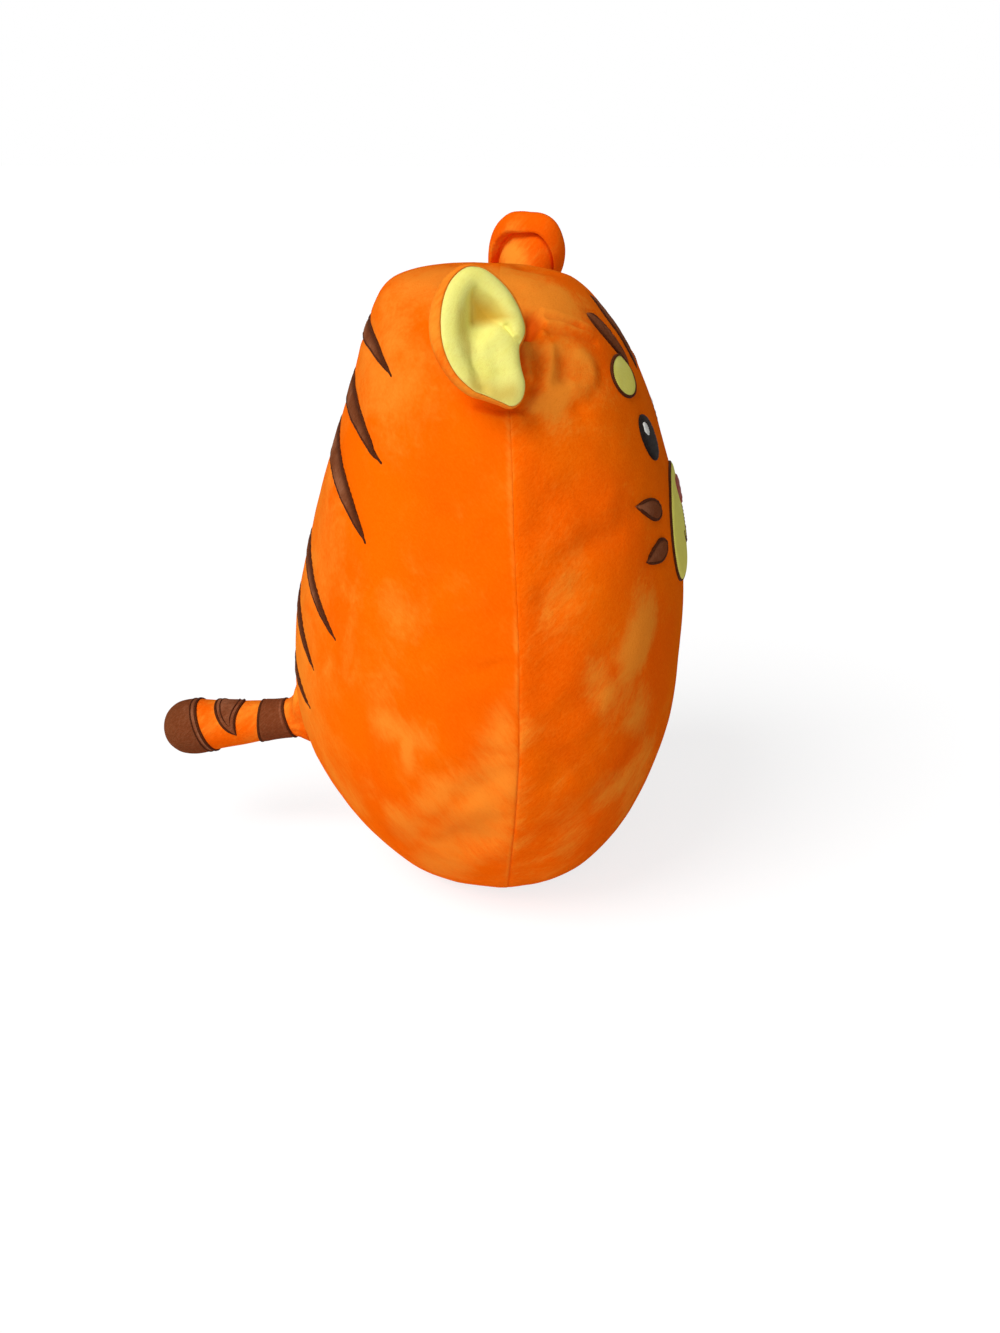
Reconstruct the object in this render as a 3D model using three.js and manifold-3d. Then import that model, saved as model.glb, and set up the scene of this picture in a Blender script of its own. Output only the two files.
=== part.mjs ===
// A stuffed plush tiger, about 300 mm tall: an egg-shaped body of two sewn panels over a fibre
// filling, two cupped ears sewn into the side seam, appliqué stripes and face, and a stuffed tail.
// Units are millimetres. +Z is up, the tiger faces -Y, and the origin is on the flat of its base.
import * as THREE from "three";
import { mergeVertices } from "three/addons/utils/BufferGeometryUtils.js";
import Module from "manifold-3d";

const wasm = await Module();
wasm.setup();

// Driving dimensions
const bodyHeight = 300; // base to crown
const bodyWidth = 228; // across the two side seams
const bodyDepth = 192; // front to back at the belly
const plushThickness = 2; // backing cloth and its short pile
const patchThickness = 1.5; // one appliqué layer
const stitchThickness = 1.1; // one layer of satin stitching
const sewnGap = 0.3; // between pieces that lie on each other
const overrun = 20; // how far a cutting tool runs past what it cuts

// Driving dimensions of the ears
const earHeight = 62; // the rim, along the side seam
const earDepth = 37; // from the front of the rim to its back
const earReach = 32; // how far the back of the rim stands out from the head
const earBackWall = 2.4; // the padded outer layer
const earLiningWall = 3; // the padded lining
const earFloor = 2; // half the width of the hollow's floor
const earRootLength = 29; // along the side seam
const earRollRadius = 2.6; // the pinched roll where both layers are sewn
const earRollSink = 1.4; // how deep the roll presses into the head
const earHeightShare = 0.885; // middle of the sewn root, of bodyHeight

// Driving dimensions of the tail
const tailRootLength = 29.5; // from its root pivot to its bend
const tailSleeveLength = 25.5; // from its bend to the brown tip
const tailCapLength = 22; // the brown tip
const tailTipRounding = 16; // the rounded end of the brown tip
const tailRootRadius = 9.2;
const tailBendRadius = 10.8;
const tailTipRadius = 14.5; // at its fullest
const tailRootSink = 2.6; // how deep its domed root presses into the back
const tailBandWidth = 14.5; // the brown band at the end of the root length
const tailDroopDegrees = 7;
const tailHeightShare = 0.24; // where it is sewn on, of bodyHeight

const deg = THREE.MathUtils.degToRad;

// Materials
const cloth = (color, roughness = 0.95) => new THREE.MeshStandardMaterial({ color, roughness, metalness: 0 });
const orangePlush = cloth(0xf5760f);
const brownPlush = cloth(0x7a4328);
const creamPlush = cloth(0xf1e7a2);
const fibreFilling = cloth(0xf4f2ec, 1);
const blackThread = cloth(0x1d1512, 0.5);
const whiteThread = cloth(0xf7f5ef, 0.5);
const rosyThread = cloth(0x9c4a3d, 0.6);
const brownThread = cloth(0x4a2616, 0.6);

// Solids and meshes
const weldDistance = 1e-4;

function solidOf(geometry) {
  const bare = geometry.clone();
  bare.deleteAttribute("normal");
  bare.deleteAttribute("uv");
  const merged = mergeVertices(bare, weldDistance);
  return new wasm.Manifold(
    new wasm.Mesh({
      numProp: 3,
      vertProperties: new Float32Array(merged.getAttribute("position").array),
      triVerts: new Uint32Array(merged.index.array),
    }),
  );
}

function geometryOf(solid) {
  const { numProp, vertProperties, triVerts } = solid.getMesh();
  const positions = new Float32Array((vertProperties.length / numProp) * 3);
  for (let i = 0; i * numProp < vertProperties.length; i++) {
    positions.set(vertProperties.subarray(i * numProp, i * numProp + 3), i * 3);
  }
  const geometry = new THREE.BufferGeometry();
  geometry.setAttribute("position", new THREE.BufferAttribute(positions, 3));
  geometry.setIndex(new THREE.BufferAttribute(triVerts, 1));
  const faceted = geometry.toNonIndexed();
  faceted.computeVertexNormals();
  return faceted;
}

function named(name, geometry, material) {
  const mesh = new THREE.Mesh(geometry, material);
  mesh.name = name;
  return mesh;
}

// Joins rings of points into one closed skin, with a fan to a point at each end.
function skinOver(rings, firstPole, lastPole) {
  const count = rings[0].length;
  const points = [...rings.flat(), firstPole, lastPole];
  const faces = [];
  for (let i = 0; i + 1 < rings.length; i++) {
    for (let k = 0; k < count; k++) {
      const [a, b] = [i * count + k, i * count + ((k + 1) % count)];
      faces.push(a, b, b + count, a, b + count, a + count);
    }
  }
  const [first, last, top] = [points.length - 2, points.length - 1, (rings.length - 1) * count];
  for (let k = 0; k < count; k++) {
    faces.push(first, (k + 1) % count, k, last, top + k, top + ((k + 1) % count));
  }
  const geometry = new THREE.BufferGeometry().setFromPoints(points);
  geometry.setIndex(faces);
  return geometry;
}

// The parameter between 0 and 1 at which a rising measure reaches a value.
function solveFor(measure, value) {
  let [low, high] = [0, 1];
  for (let round = 0; round < 40; round++) {
    const middle = (low + high) / 2;
    if (measure(middle) < value) low = middle;
    else high = middle;
  }
  return low;
}

// An outline drawn in the side plane, with Y to the right and Z up, as a slab along X.
function sideSlab(outline, span) {
  const slab = new THREE.ExtrudeGeometry(outline, { depth: span, bevelEnabled: false, curveSegments: 5 });
  slab.applyMatrix4(
    new THREE.Matrix4().makeBasis(
      new THREE.Vector3(0, 1, 0),
      new THREE.Vector3(0, 0, 1),
      new THREE.Vector3(1, 0, 0),
    ),
  );
  return solidOf(slab.translate(-span / 2, 0, 0));
}

// Body form
// Each row is a level of the egg: its height as a share of bodyHeight, its half width as a share of
// half of bodyWidth, and its front depth, back depth and seam place as shares of bodyDepth.
const bodyLevelShares = [
  [0, 0.33, 0.112, 0.235, -0.0625],
  [0.012, 0.46, 0.215, 0.275, -0.068],
  [0.055, 0.645, 0.278, 0.349, -0.078],
  [0.14, 0.83, 0.338, 0.47, -0.094],
  [0.27, 0.96, 0.383, 0.586, -0.115],
  [0.42, 1, 0.387, 0.608, -0.13],
  [0.57, 0.96, 0.381, 0.562, -0.13],
  [0.71, 0.87, 0.342, 0.491, -0.12],
  [0.83, 0.75, 0.294, 0.416, -0.104],
  [0.92, 0.58, 0.231, 0.36, -0.089],
  [0.98, 0.315, 0.142, 0.261, -0.068],
  [1, 0, 0, 0, -0.052],
];
const bodyCurves = [1, 2, 3, 4].map(
  (column) => new THREE.SplineCurve(bodyLevelShares.map((row) => new THREE.Vector2(row[0], row[column]))),
);

function bodyLevel(t) {
  const [width, front, back, seam] = bodyCurves.map((curve) => curve.getPoint(t));
  return {
    height: width.x * bodyHeight,
    halfWidth: (width.y * bodyWidth) / 2,
    front: front.y * bodyDepth,
    back: back.y * bodyDepth,
    seam: seam.y * bodyDepth,
  };
}

// The egg, drawn in by inset all round, or let out where inset is negative.
function bodyForm(inset, levels, sectors) {
  const shrink = (bodyHeight - 2 * inset) / bodyHeight;
  const rings = [];
  for (let i = 0; i < levels; i++) {
    const level = bodyLevel(i / levels);
    const ring = [];
    for (let k = 0; k < sectors; k++) {
      const angle = ((k + 0.5) / sectors) * 2 * Math.PI;
      const depth = Math.sin(angle) > 0 ? level.back : level.front;
      const x = (level.halfWidth - inset) * Math.cos(angle);
      const y = level.seam + (depth - inset) * Math.sin(angle);
      ring.push(new THREE.Vector3(x, y, inset + level.height * shrink));
    }
    rings.push(ring);
  }
  const base = new THREE.Vector3(0, bodyLevel(0).seam, inset);
  const crown = new THREE.Vector3(0, bodyLevel(1).seam, bodyHeight - inset);
  return solidOf(skinOver(rings, base, crown));
}

const outerForm = (inset) => bodyForm(inset, 27, 40);
const innerForm = (inset) => bodyForm(inset, 18, 26);
const bodyParameter = (height) => solveFor((t) => bodyLevel(t).height, height);

// The point of the side seam at a height, on the left side.
function seamPoint(height) {
  const level = bodyLevel(bodyParameter(height));
  return new THREE.Vector3(level.halfWidth, level.seam, level.height);
}

// The middle of the back at a height.
function backPoint(height) {
  const level = bodyLevel(bodyParameter(height));
  return new THREE.Vector3(0, level.seam + level.back, level.height);
}

// Where the left ear is sewn on: up along the seam, outward from the head, and backward.
const earFrame = (() => {
  const height = earHeightShare * bodyHeight;
  const end = earRootLength / 2;
  const along = seamPoint(height + end).sub(seamPoint(height - end)).normalize();
  const outward = new THREE.Vector3(along.z, 0, -along.x).normalize();
  const backward = new THREE.Vector3().crossVectors(along, outward).normalize();
  const pivot = seamPoint(height).addScaledVector(outward, earRollRadius - earRollSink);
  return new THREE.Matrix4().makeBasis(along, outward, backward).setPosition(pivot);
})();

// Where the tail is sewn on: its pivot sits just outside the middle of the back.
const tailPivot = (() => {
  const height = tailHeightShare * bodyHeight;
  const along = backPoint(height + tailRootRadius).sub(backPoint(height - tailRootRadius)).normalize();
  const outward = new THREE.Vector3(0, along.z, -along.y);
  return backPoint(height).addScaledVector(outward, tailRootRadius - tailRootSink);
})();

const earRoll = (clearance) =>
  new THREE.CapsuleGeometry(earRollRadius + clearance, earRootLength, 4, 12).rotateZ(Math.PI / 2);

// The hollows that the ear roots and the tail root press into the body.
function rootHollows(clearance) {
  const ear = solidOf(earRoll(clearance).applyMatrix4(earFrame));
  const dome = new THREE.SphereGeometry(tailRootRadius + clearance, 16, 10);
  const tail = solidOf(dome.translate(tailPivot.x, tailPivot.y, tailPivot.z));
  return ear.add(ear.mirror([1, 0, 0])).add(tail);
}

// Everything in front of the side seam, less half of the gap between the panels.
function frontHalf() {
  const outline = new THREE.Shape();
  const reach = bodyDepth + overrun;
  const seamAt = (level) => level.seam - sewnGap / 2;
  outline.moveTo(-reach, -overrun);
  outline.lineTo(seamAt(bodyLevel(0)), -overrun);
  const steps = 16;
  for (let i = 0; i <= steps; i++) {
    const level = bodyLevel(i / steps);
    outline.lineTo(seamAt(level), level.height);
  }
  outline.lineTo(seamAt(bodyLevel(1)), bodyHeight + overrun);
  outline.lineTo(-reach, bodyHeight + overrun);
  return sideSlab(outline, bodyWidth + 2 * overrun);
}

function bodyPieces() {
  const inside = innerForm(plushThickness).subtract(rootHollows(sewnGap + plushThickness));
  const skin = outerForm(0).subtract(rootHollows(sewnGap)).subtract(inside);
  const front = frontHalf();
  const fillingInset = plushThickness + sewnGap;
  const filling = innerForm(fillingInset).subtract(rootHollows(sewnGap + fillingInset));
  return [
    named("front_panel", geometryOf(skin.intersect(front)), orangePlush),
    named("back_panel", geometryOf(skin.subtract(front.translate([0, sewnGap, 0]))), orangePlush),
    named("body_filling", geometryOf(filling), fibreFilling),
  ];
}

// Appliqué
// A layer that lies on the body, from a lift above its surface.
const layerOn = (lift, thickness) => outerForm(-lift - thickness).subtract(outerForm(-lift));
const patchLayer = layerOn(sewnGap, patchThickness);
const stitchLayer = layerOn(sewnGap, stitchThickness);
const raisedStitchLayer = layerOn(sewnGap + patchThickness + sewnGap, stitchThickness);

// Cuts an outline, drawn as it stands in the width and height of the body, out of a layer.
function cutFrom(layer, outline, side) {
  const cutter = new THREE.ExtrudeGeometry(outline, { depth: bodyDepth, bevelEnabled: false, curveSegments: 6 });
  cutter.rotateX(Math.PI / 2);
  if (side === "back") cutter.translate(0, bodyDepth, 0);
  return geometryOf(layer.intersect(solidOf(cutter)));
}

// A place on the body as seen from the front: shares of half of bodyWidth, and of bodyHeight.
const placeAt = (acrossShare, heightShare) => [(acrossShare * bodyWidth) / 2, heightShare * bodyHeight];

// A saddle over the spine that droops to a point on each side.
function saddle([halfSpanShare, tipShare, crownShare, depthShare]) {
  const riseShare = crownShare - tipShare;
  const lowShare = crownShare - depthShare;
  const upper = [
    placeAt(-0.7 * halfSpanShare, tipShare + 0.62 * riseShare),
    placeAt(-0.3 * halfSpanShare, crownShare),
    placeAt(0, crownShare),
  ];
  const lower = [
    placeAt(0.62 * halfSpanShare, tipShare + 0.34 * riseShare),
    placeAt(0.3 * halfSpanShare, lowShare),
    placeAt(0, lowShare),
  ];
  const across = ([x, z]) => [-x, z];
  const outline = new THREE.Shape();
  outline.moveTo(...placeAt(-halfSpanShare, tipShare));
  outline.bezierCurveTo(...upper[0], ...upper[1], ...upper[2]);
  outline.bezierCurveTo(...across(upper[1]), ...across(upper[0]), ...placeAt(halfSpanShare, tipShare));
  outline.bezierCurveTo(...lower[0], ...lower[1], ...lower[2]);
  outline.bezierCurveTo(...across(lower[1]), ...across(lower[0]), ...placeAt(-halfSpanShare, tipShare));
  return outline;
}

// Six stripes down the back, from the crown to above the tail: half span, as a share of half of
// bodyWidth, then the heights of the points and of the middle and the depth there, of bodyHeight.
const backStripeShares = [
  [0.535, 0.857, 0.943, 0.036],
  [0.667, 0.74, 0.863, 0.038],
  [0.728, 0.627, 0.78, 0.046],
  [0.693, 0.473, 0.607, 0.042],
  [0.57, 0.41, 0.52, 0.036],
  [0.518, 0.337, 0.393, 0.03],
];

// A leaf from its root to its point. Its fullness is its width as a share of its length.
function leaf(root, tip, fullnessShare) {
  const [start, end] = [new THREE.Vector2(...root), new THREE.Vector2(...tip)];
  const reach = end.clone().sub(start);
  const side = new THREE.Vector2(-reach.y, reach.x).multiplyScalar(0.64 * fullnessShare);
  const bend = (share, sign) => start.clone().addScaledVector(reach, share).addScaledVector(side, sign).toArray();
  const outline = new THREE.Shape();
  outline.moveTo(...root);
  outline.bezierCurveTo(...bend(0.08, 1), ...bend(0.55, 1), ...tip);
  outline.bezierCurveTo(...bend(0.55, -1), ...bend(0.08, -1), ...root);
  return outline;
}

function oval(acrossShare, heightShare, [wideShare, tallShare], tiltDegrees = 0) {
  const outline = new THREE.Shape();
  const [halfWide, halfTall] = [(wideShare * bodyWidth) / 2, (tallShare * bodyHeight) / 2];
  outline.absellipse(...placeAt(acrossShare, heightShare), halfWide, halfTall, 0, 2 * Math.PI, false, deg(tiltDegrees));
  return outline;
}

const bothSides = [
  ["left", 1],
  ["right", -1],
];

function stripePieces() {
  const patch = (name, outline, side) => named(name, cutFrom(patchLayer, outline, side), brownPlush);
  const pieces = backStripeShares.map((shares, i) => patch(`back_stripe_${i + 1}`, saddle(shares), "back"));
  pieces.push(patch("middle_forehead_stripe", leaf(placeAt(0, 0.953), placeAt(0, 0.84), 0.36), "front"));
  for (const [side, sign] of bothSides) {
    const forehead = leaf(placeAt(sign * 0.24, 0.937), placeAt(sign * 0.15, 0.852), 0.38);
    const upperCheek = leaf(placeAt(sign * 0.385, 0.655), placeAt(sign * 0.575, 0.68), 0.42);
    const lowerCheek = leaf(placeAt(sign * 0.395, 0.607), placeAt(sign * 0.59, 0.597), 0.42);
    pieces.push(patch(`${side}_forehead_stripe`, forehead, "front"));
    pieces.push(patch(`${side}_upper_cheek_stripe`, upperCheek, "front"));
    pieces.push(patch(`${side}_lower_cheek_stripe`, lowerCheek, "front"));
  }
  return pieces;
}

// Face
// Outlines of the face are symmetric. Each is drawn down its left side, then back up its right.
function mirroredOutline(top, bottom, curves) {
  const across = ([x, z]) => [-x, z];
  const outline = new THREE.Shape();
  outline.moveTo(...top);
  for (const [first, second, end] of curves) outline.bezierCurveTo(...first, ...second, ...end);
  const ends = [top, ...curves.map((curve) => curve[2])];
  for (let i = curves.length - 1; i >= 0; i--) {
    const [first, second] = curves[i];
    outline.bezierCurveTo(...across(second), ...across(first), ...across(ends[i]));
  }
  return outline;
}

// Two round cheeks that meet under the nose.
function muzzleOutline({ halfWideShare, topShare, bottomShare, notchShare }) {
  const tallShare = topShare - bottomShare;
  const at = (across, down) => placeAt(across * halfWideShare, topShare - down * tallShare);
  return mirroredOutline(at(0, 0), at(0, 1 - notchShare), [
    [at(0.36, 0), at(0.6, 0.08), at(0.82, 0.3)],
    [at(1.08, 0.56), at(1.02, 1), at(0.46, 1)],
    [at(0.27, 1), at(0.1, 1 - notchShare / 2), at(0, 1 - notchShare)],
  ]);
}

// A soft triangle with its point down.
function noseOutline({ halfWideShare, topShare, bottomShare }) {
  const tallShare = topShare - bottomShare;
  const at = (across, down) => placeAt(across * halfWideShare, topShare - down * tallShare);
  return mirroredOutline(at(0, 0), at(0, 1), [
    [at(0.9, -0.06), at(1.3, 0.3), at(0.7, 0.6)],
    [at(0.4, 0.86), at(0.2, 1), at(0, 1)],
  ]);
}

// A stem below the nose that parts into two upturned lines.
function mouthOutline({ halfWideShare, topShare, bottomShare, lineShare }) {
  const tallShare = topShare - bottomShare;
  const at = (across, down) => placeAt(across * halfWideShare, topShare - down * tallShare);
  const line = lineShare;
  return mirroredOutline(at(0, 0), at(0, 0.62 + line), [
    [at(0.02, 0), at(line / 3, 0), at(line / 3, 0.01)],
    [at(line / 3, 0.2), at(line / 3, 0.4), at(line / 3, 0.6)],
    [at(0.3, 0.95), at(0.7, 0.95), at(0.94, 0.5)],
    [at(0.98, 0.5), at(1, 0.52), at(1, 0.56)],
    [at(0.75, 1), at(0.3, 1 + line / 2), at(0, 0.62 + line)],
  ]);
}

function facePieces() {
  const muzzle = muzzleOutline({ halfWideShare: 0.36, topShare: 0.693, bottomShare: 0.527, notchShare: 0.08 });
  const nose = noseOutline({ halfWideShare: 0.092, topShare: 0.674, bottomShare: 0.63 });
  const mouth = mouthOutline({ halfWideShare: 0.13, topShare: 0.628, bottomShare: 0.57, lineShare: 0.14 });
  const pieces = [
    named("muzzle_patch", cutFrom(patchLayer, muzzle, "front"), creamPlush),
    named("nose", cutFrom(raisedStitchLayer, nose, "front"), rosyThread),
    named("mouth", cutFrom(raisedStitchLayer, mouth, "front"), brownThread),
  ];
  for (const [side, sign] of bothSides) {
    const eye = oval(sign * 0.31, 0.76, [0.075, 0.068]);
    const glint = oval(sign * 0.31 - 0.025, 0.774, [0.022, 0.019]);
    const spot = oval(sign * 0.3, 0.85, [0.11, 0.055], sign * -16);
    pieces.push(
      named(`${side}_eye`, cutFrom(stitchLayer, eye, "front"), blackThread),
      named(`${side}_eye_glint`, cutFrom(raisedStitchLayer, glint, "front"), whiteThread),
      named(`${side}_brow_spot`, cutFrom(patchLayer, spot, "front"), creamPlush),
    );
  }
  return pieces;
}

// Ears
// Each ear is a cup that opens outward. Each row is a ring of it, from the root to the rim: how far
// its front and its back stand out, as shares of earReach, how far back they lie, as shares of
// earDepth, and half its height and how far it leans up along the seam, as shares of earHeight.
const earRingShares = [
  [0, 0, -0.06, 0.06, 0.24, 0],
  [0.1, 0.14, -0.2, 0.26, 0.35, 0.02],
  [0.23, 0.36, -0.29, 0.46, 0.44, 0.05],
  [0.34, 0.6, -0.31, 0.6, 0.48, 0.075],
  [0.42, 0.83, -0.3, 0.68, 0.5, 0.09],
  [0.47, 1, -0.27, 0.73, 0.49, 0.1],
];
const earCurves = [0, 1, 2, 3, 4, 5].map(
  (column) => new THREE.SplineCurve(earRingShares.map((row, i) => new THREE.Vector2(i, row[column]))),
);

function earRing(t) {
  const [frontOut, backOut, frontBehind, backBehind, half, lean] = earCurves.map((curve) => curve.getPoint(t).y);
  return {
    front: new THREE.Vector2(frontOut * earReach, frontBehind * earDepth),
    back: new THREE.Vector2(backOut * earReach, backBehind * earDepth),
    half: half * earHeight,
    lean: lean * earHeight,
  };
}
const earHalfDepth = (t) => earRing(t).back.distanceTo(earRing(t).front) / 2;

// The cup as if it were filled: drawn in by inset, from a start between the root (0) and the rim (1),
// with its floor lifted, and carried on past the rim by a reach.
function earFill(inset, start = 0, lift = 0, reach = 0) {
  const [steps, sectors] = [7, 14];
  const rings = [];
  const middles = [];
  const addRing = (t, rise) => {
    const { front, back, half, lean } = earRing(t);
    const across = back.clone().sub(front).normalize();
    const middle = back.clone().add(front).multiplyScalar(0.5);
    middle.addScaledVector(new THREE.Vector2(across.y, -across.x), rise);
    const halfDepth = earHalfDepth(t) - inset;
    const ring = [];
    for (let k = 0; k < sectors; k++) {
      const angle = (k / sectors) * 2 * Math.PI;
      const place = middle.clone().addScaledVector(across, -halfDepth * Math.sin(angle));
      ring.push(new THREE.Vector3(lean + (half - inset) * Math.cos(angle), place.x, place.y));
    }
    rings.push(ring);
    middles.push(new THREE.Vector3(lean, middle.x, middle.y));
  };
  for (let i = 0; i <= steps; i++) {
    addRing(start + ((1 - start) * i) / steps, lift * (1 - i / steps));
  }
  if (reach > 0) addRing(1, reach);
  return solidOf(skinOver(rings, middles[0], middles.at(-1)));
}

function earPieces(side) {
  const liningInset = earBackWall + sewnGap;
  const hollowInset = liningInset + earLiningWall;
  const start = solveFor(earHalfDepth, hollowInset + earFloor);
  const back = earFill(0).subtract(earFill(earBackWall, start, 0, overrun)).add(solidOf(earRoll(0)));
  const hollow = earFill(hollowInset, start, sewnGap + earLiningWall, overrun);
  const lining = earFill(liningInset, start, sewnGap).subtract(hollow);
  const place = (solid) => geometryOf(solid).applyMatrix4(earFrame);
  const ear = new THREE.Group();
  ear.add(
    named(`${side}_ear_back`, place(back), orangePlush),
    named(`${side}_ear_lining`, place(lining), creamPlush),
  );
  if (side === "right") ear.scale.x = -1;
  return ear;
}

// Tail
// The tail is turned round its own axis, which runs along Y from the root pivot to the tip.
const tailLength = tailRootLength + tailSleeveLength + tailCapLength;
const tailFullest = tailLength - tailTipRounding;
const tailCurve = new THREE.SplineCurve([
  new THREE.Vector2(tailRootRadius, 0),
  new THREE.Vector2((tailRootRadius + tailBendRadius) / 2, tailRootLength / 2),
  new THREE.Vector2(tailBendRadius, tailRootLength),
  new THREE.Vector2((tailBendRadius + 2 * tailTipRadius) / 3, (tailRootLength + tailFullest) / 2),
  new THREE.Vector2(tailTipRadius, tailFullest),
]);
const tailSectors = 16;
const tailSwingDegrees = 28; // the most that the end segment can turn in its cup

// The tail's radius at a place along it, up to its fullest.
const tailRadius = (place) => tailCurve.getPoint(solveFor((t) => tailCurve.getPoint(t).y, place)).x;

// A dome round a pivot on the axis, from the pole nearest the root to its widest.
function domeLine(radius, pivot) {
  const points = [];
  const steps = 4;
  for (let i = 0; i <= steps; i++) {
    const angle = ((i / steps) * Math.PI) / 2;
    points.push(new THREE.Vector2(radius * Math.sin(angle), pivot - radius * Math.cos(angle)));
  }
  return points;
}

// The side of the tail between two places, drawn in by inset.
function sideLine(from, to, inset) {
  const points = [];
  const steps = 4;
  for (let i = 0; i <= steps; i++) {
    const place = from + ((to - from) * i) / steps;
    points.push(new THREE.Vector2(tailRadius(place) - inset, place));
  }
  return points;
}

// The rounded end, from the tail's fullest to its tip on the axis.
function tipLine(inset) {
  const points = [];
  const steps = 5;
  for (let i = 1; i < steps; i++) {
    const angle = ((i / steps) * Math.PI) / 2;
    const radius = (tailTipRadius - inset) * Math.cos(angle);
    points.push(new THREE.Vector2(radius, tailFullest + (tailTipRounding - inset) * Math.sin(angle)));
  }
  return [...points, new THREE.Vector2(0, tailLength - inset)];
}

// A profile that is closed on itself, turned round the axis.
const turned = (profile) => solidOf(new THREE.LatheGeometry([...profile, profile[0]], tailSectors));

// A length of tail that starts in a dome round a pivot and ends flat.
function domedLength(radius, to, inset) {
  const side = sideLine(0, to, inset).slice(1);
  return turned([...domeLine(radius - inset, 0), ...side, new THREE.Vector2(0, to)]);
}

// The end segment's whole outline, drawn in by inset.
function endForm(inset) {
  const side = sideLine(tailRootLength, tailFullest, inset).slice(1);
  return turned([...domeLine(tailBendRadius - inset, tailRootLength), ...side, ...tipLine(inset)]);
}

function rootSegment() {
  const rim = tailRootLength - tailBendRadius * Math.sin(deg(tailSwingDegrees)) - sewnGap;
  const ball = new THREE.SphereGeometry(tailBendRadius + sewnGap, tailSectors, 10);
  const cup = solidOf(ball.translate(0, tailRootLength, 0));
  const core = domedLength(tailRootRadius, rim + overrun, plushThickness);
  const sleeve = domedLength(tailRootRadius, rim, 0).subtract(core).subtract(cup);
  const filling = domedLength(tailRootRadius, rim, plushThickness + sewnGap).subtract(cup);
  const bandEnd = rim - sewnGap;
  const bandStart = bandEnd - tailBandWidth;
  const bandInside = sideLine(bandStart, bandEnd, -sewnGap);
  const bandOutside = sideLine(bandStart, bandEnd, -sewnGap - patchThickness);
  return [
    named("tail_root_sleeve", geometryOf(sleeve), orangePlush),
    named("tail_root_filling", geometryOf(filling), fibreFilling),
    named("tail_band", geometryOf(turned([...bandOutside, ...bandInside.reverse()])), brownPlush),
  ];
}

// A crescent over the top of the end segment, whose points hang a little below its middle.
function tailPatchOutline() {
  const at = (alongShare, upShare) => [
    tailRootLength + alongShare * tailSleeveLength,
    upShare * tailTipRadius,
  ];
  const outline = new THREE.Shape();
  outline.moveTo(...at(0.1, 2));
  outline.lineTo(...at(0.1, 0.6));
  outline.quadraticCurveTo(...at(0.12, -0.1), ...at(0.3, -0.38));
  outline.quadraticCurveTo(...at(0.6, -0.1), ...at(0.64, 0.7));
  outline.lineTo(...at(0.64, 2));
  return outline;
}

function endSegment() {
  const beyond = (place) => {
    const block = new THREE.CylinderGeometry(bodyWidth, bodyWidth, tailLength, 8);
    return solidOf(block.translate(0, place + tailLength / 2, 0));
  };
  const capStart = tailRootLength + tailSleeveLength;
  const sleeve = endForm(0).subtract(endForm(plushThickness));
  const coat = endForm(-sewnGap - patchThickness).subtract(endForm(-sewnGap));
  const patch = coat.intersect(sideSlab(tailPatchOutline(), bodyWidth));
  return [
    named("tail_end_sleeve", geometryOf(sleeve.subtract(beyond(capStart - sewnGap))), orangePlush),
    named("tail_tip_cap", geometryOf(sleeve.intersect(beyond(capStart))), brownPlush),
    named("tail_patch", geometryOf(patch), brownPlush),
    named("tail_end_filling", geometryOf(endForm(plushThickness + sewnGap)), fibreFilling),
  ];
}

function tailPieces() {
  const tail = new THREE.Group();
  tail.position.copy(tailPivot);
  tail.rotation.x = -deg(tailDroopDegrees);
  tail.add(...rootSegment(), ...endSegment());
  return tail;
}

const tiger = new THREE.Group();
tiger.add(...bodyPieces(), ...stripePieces(), ...facePieces());
tiger.add(earPieces("left"), earPieces("right"), tailPieces());

export default tiger;
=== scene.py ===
# %% [markdown]
# # A stuffed plush tiger
# The toy is an egg of orange velour with a front and a back panel, two cupped ears, brown stripes
# sewn on as appliqué, an embroidered face and a short stuffed tail. The engineering model holds its
# pieces and joints. This script loads them as a fixed frame and dresses each one in its real form.

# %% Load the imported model
import math

import bmesh
import bpy
import numpy as np
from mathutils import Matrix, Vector, noise
from mathutils.bvhtree import BVHTree
from mathutils.kdtree import KDTree
from mathutils.geometry import delaunay_2d_cdt


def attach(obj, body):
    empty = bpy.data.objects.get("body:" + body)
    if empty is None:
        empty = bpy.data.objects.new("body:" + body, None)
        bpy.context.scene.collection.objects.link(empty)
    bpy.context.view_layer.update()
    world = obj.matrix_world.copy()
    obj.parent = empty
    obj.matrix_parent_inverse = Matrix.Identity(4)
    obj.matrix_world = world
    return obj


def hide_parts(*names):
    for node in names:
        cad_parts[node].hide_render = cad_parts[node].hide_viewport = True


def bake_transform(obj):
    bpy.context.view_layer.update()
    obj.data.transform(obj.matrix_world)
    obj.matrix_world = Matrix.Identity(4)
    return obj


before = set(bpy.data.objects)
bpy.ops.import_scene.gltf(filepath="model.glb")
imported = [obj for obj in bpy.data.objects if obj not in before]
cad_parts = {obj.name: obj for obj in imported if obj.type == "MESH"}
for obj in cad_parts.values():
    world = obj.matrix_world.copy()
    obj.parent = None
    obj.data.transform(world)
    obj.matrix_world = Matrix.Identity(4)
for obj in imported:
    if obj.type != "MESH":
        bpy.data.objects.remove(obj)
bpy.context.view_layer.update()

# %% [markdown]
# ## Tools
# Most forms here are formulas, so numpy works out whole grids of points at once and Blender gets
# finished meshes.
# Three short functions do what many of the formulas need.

MM = 0.001


def turns(count):
    """Angles at even steps round a circle."""
    return np.linspace(0, 2 * math.pi, count, endpoint=False)


def lengths(vectors):
    """The length of each vector in a grid of them."""
    return np.linalg.norm(vectors, axis=-1)


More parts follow.
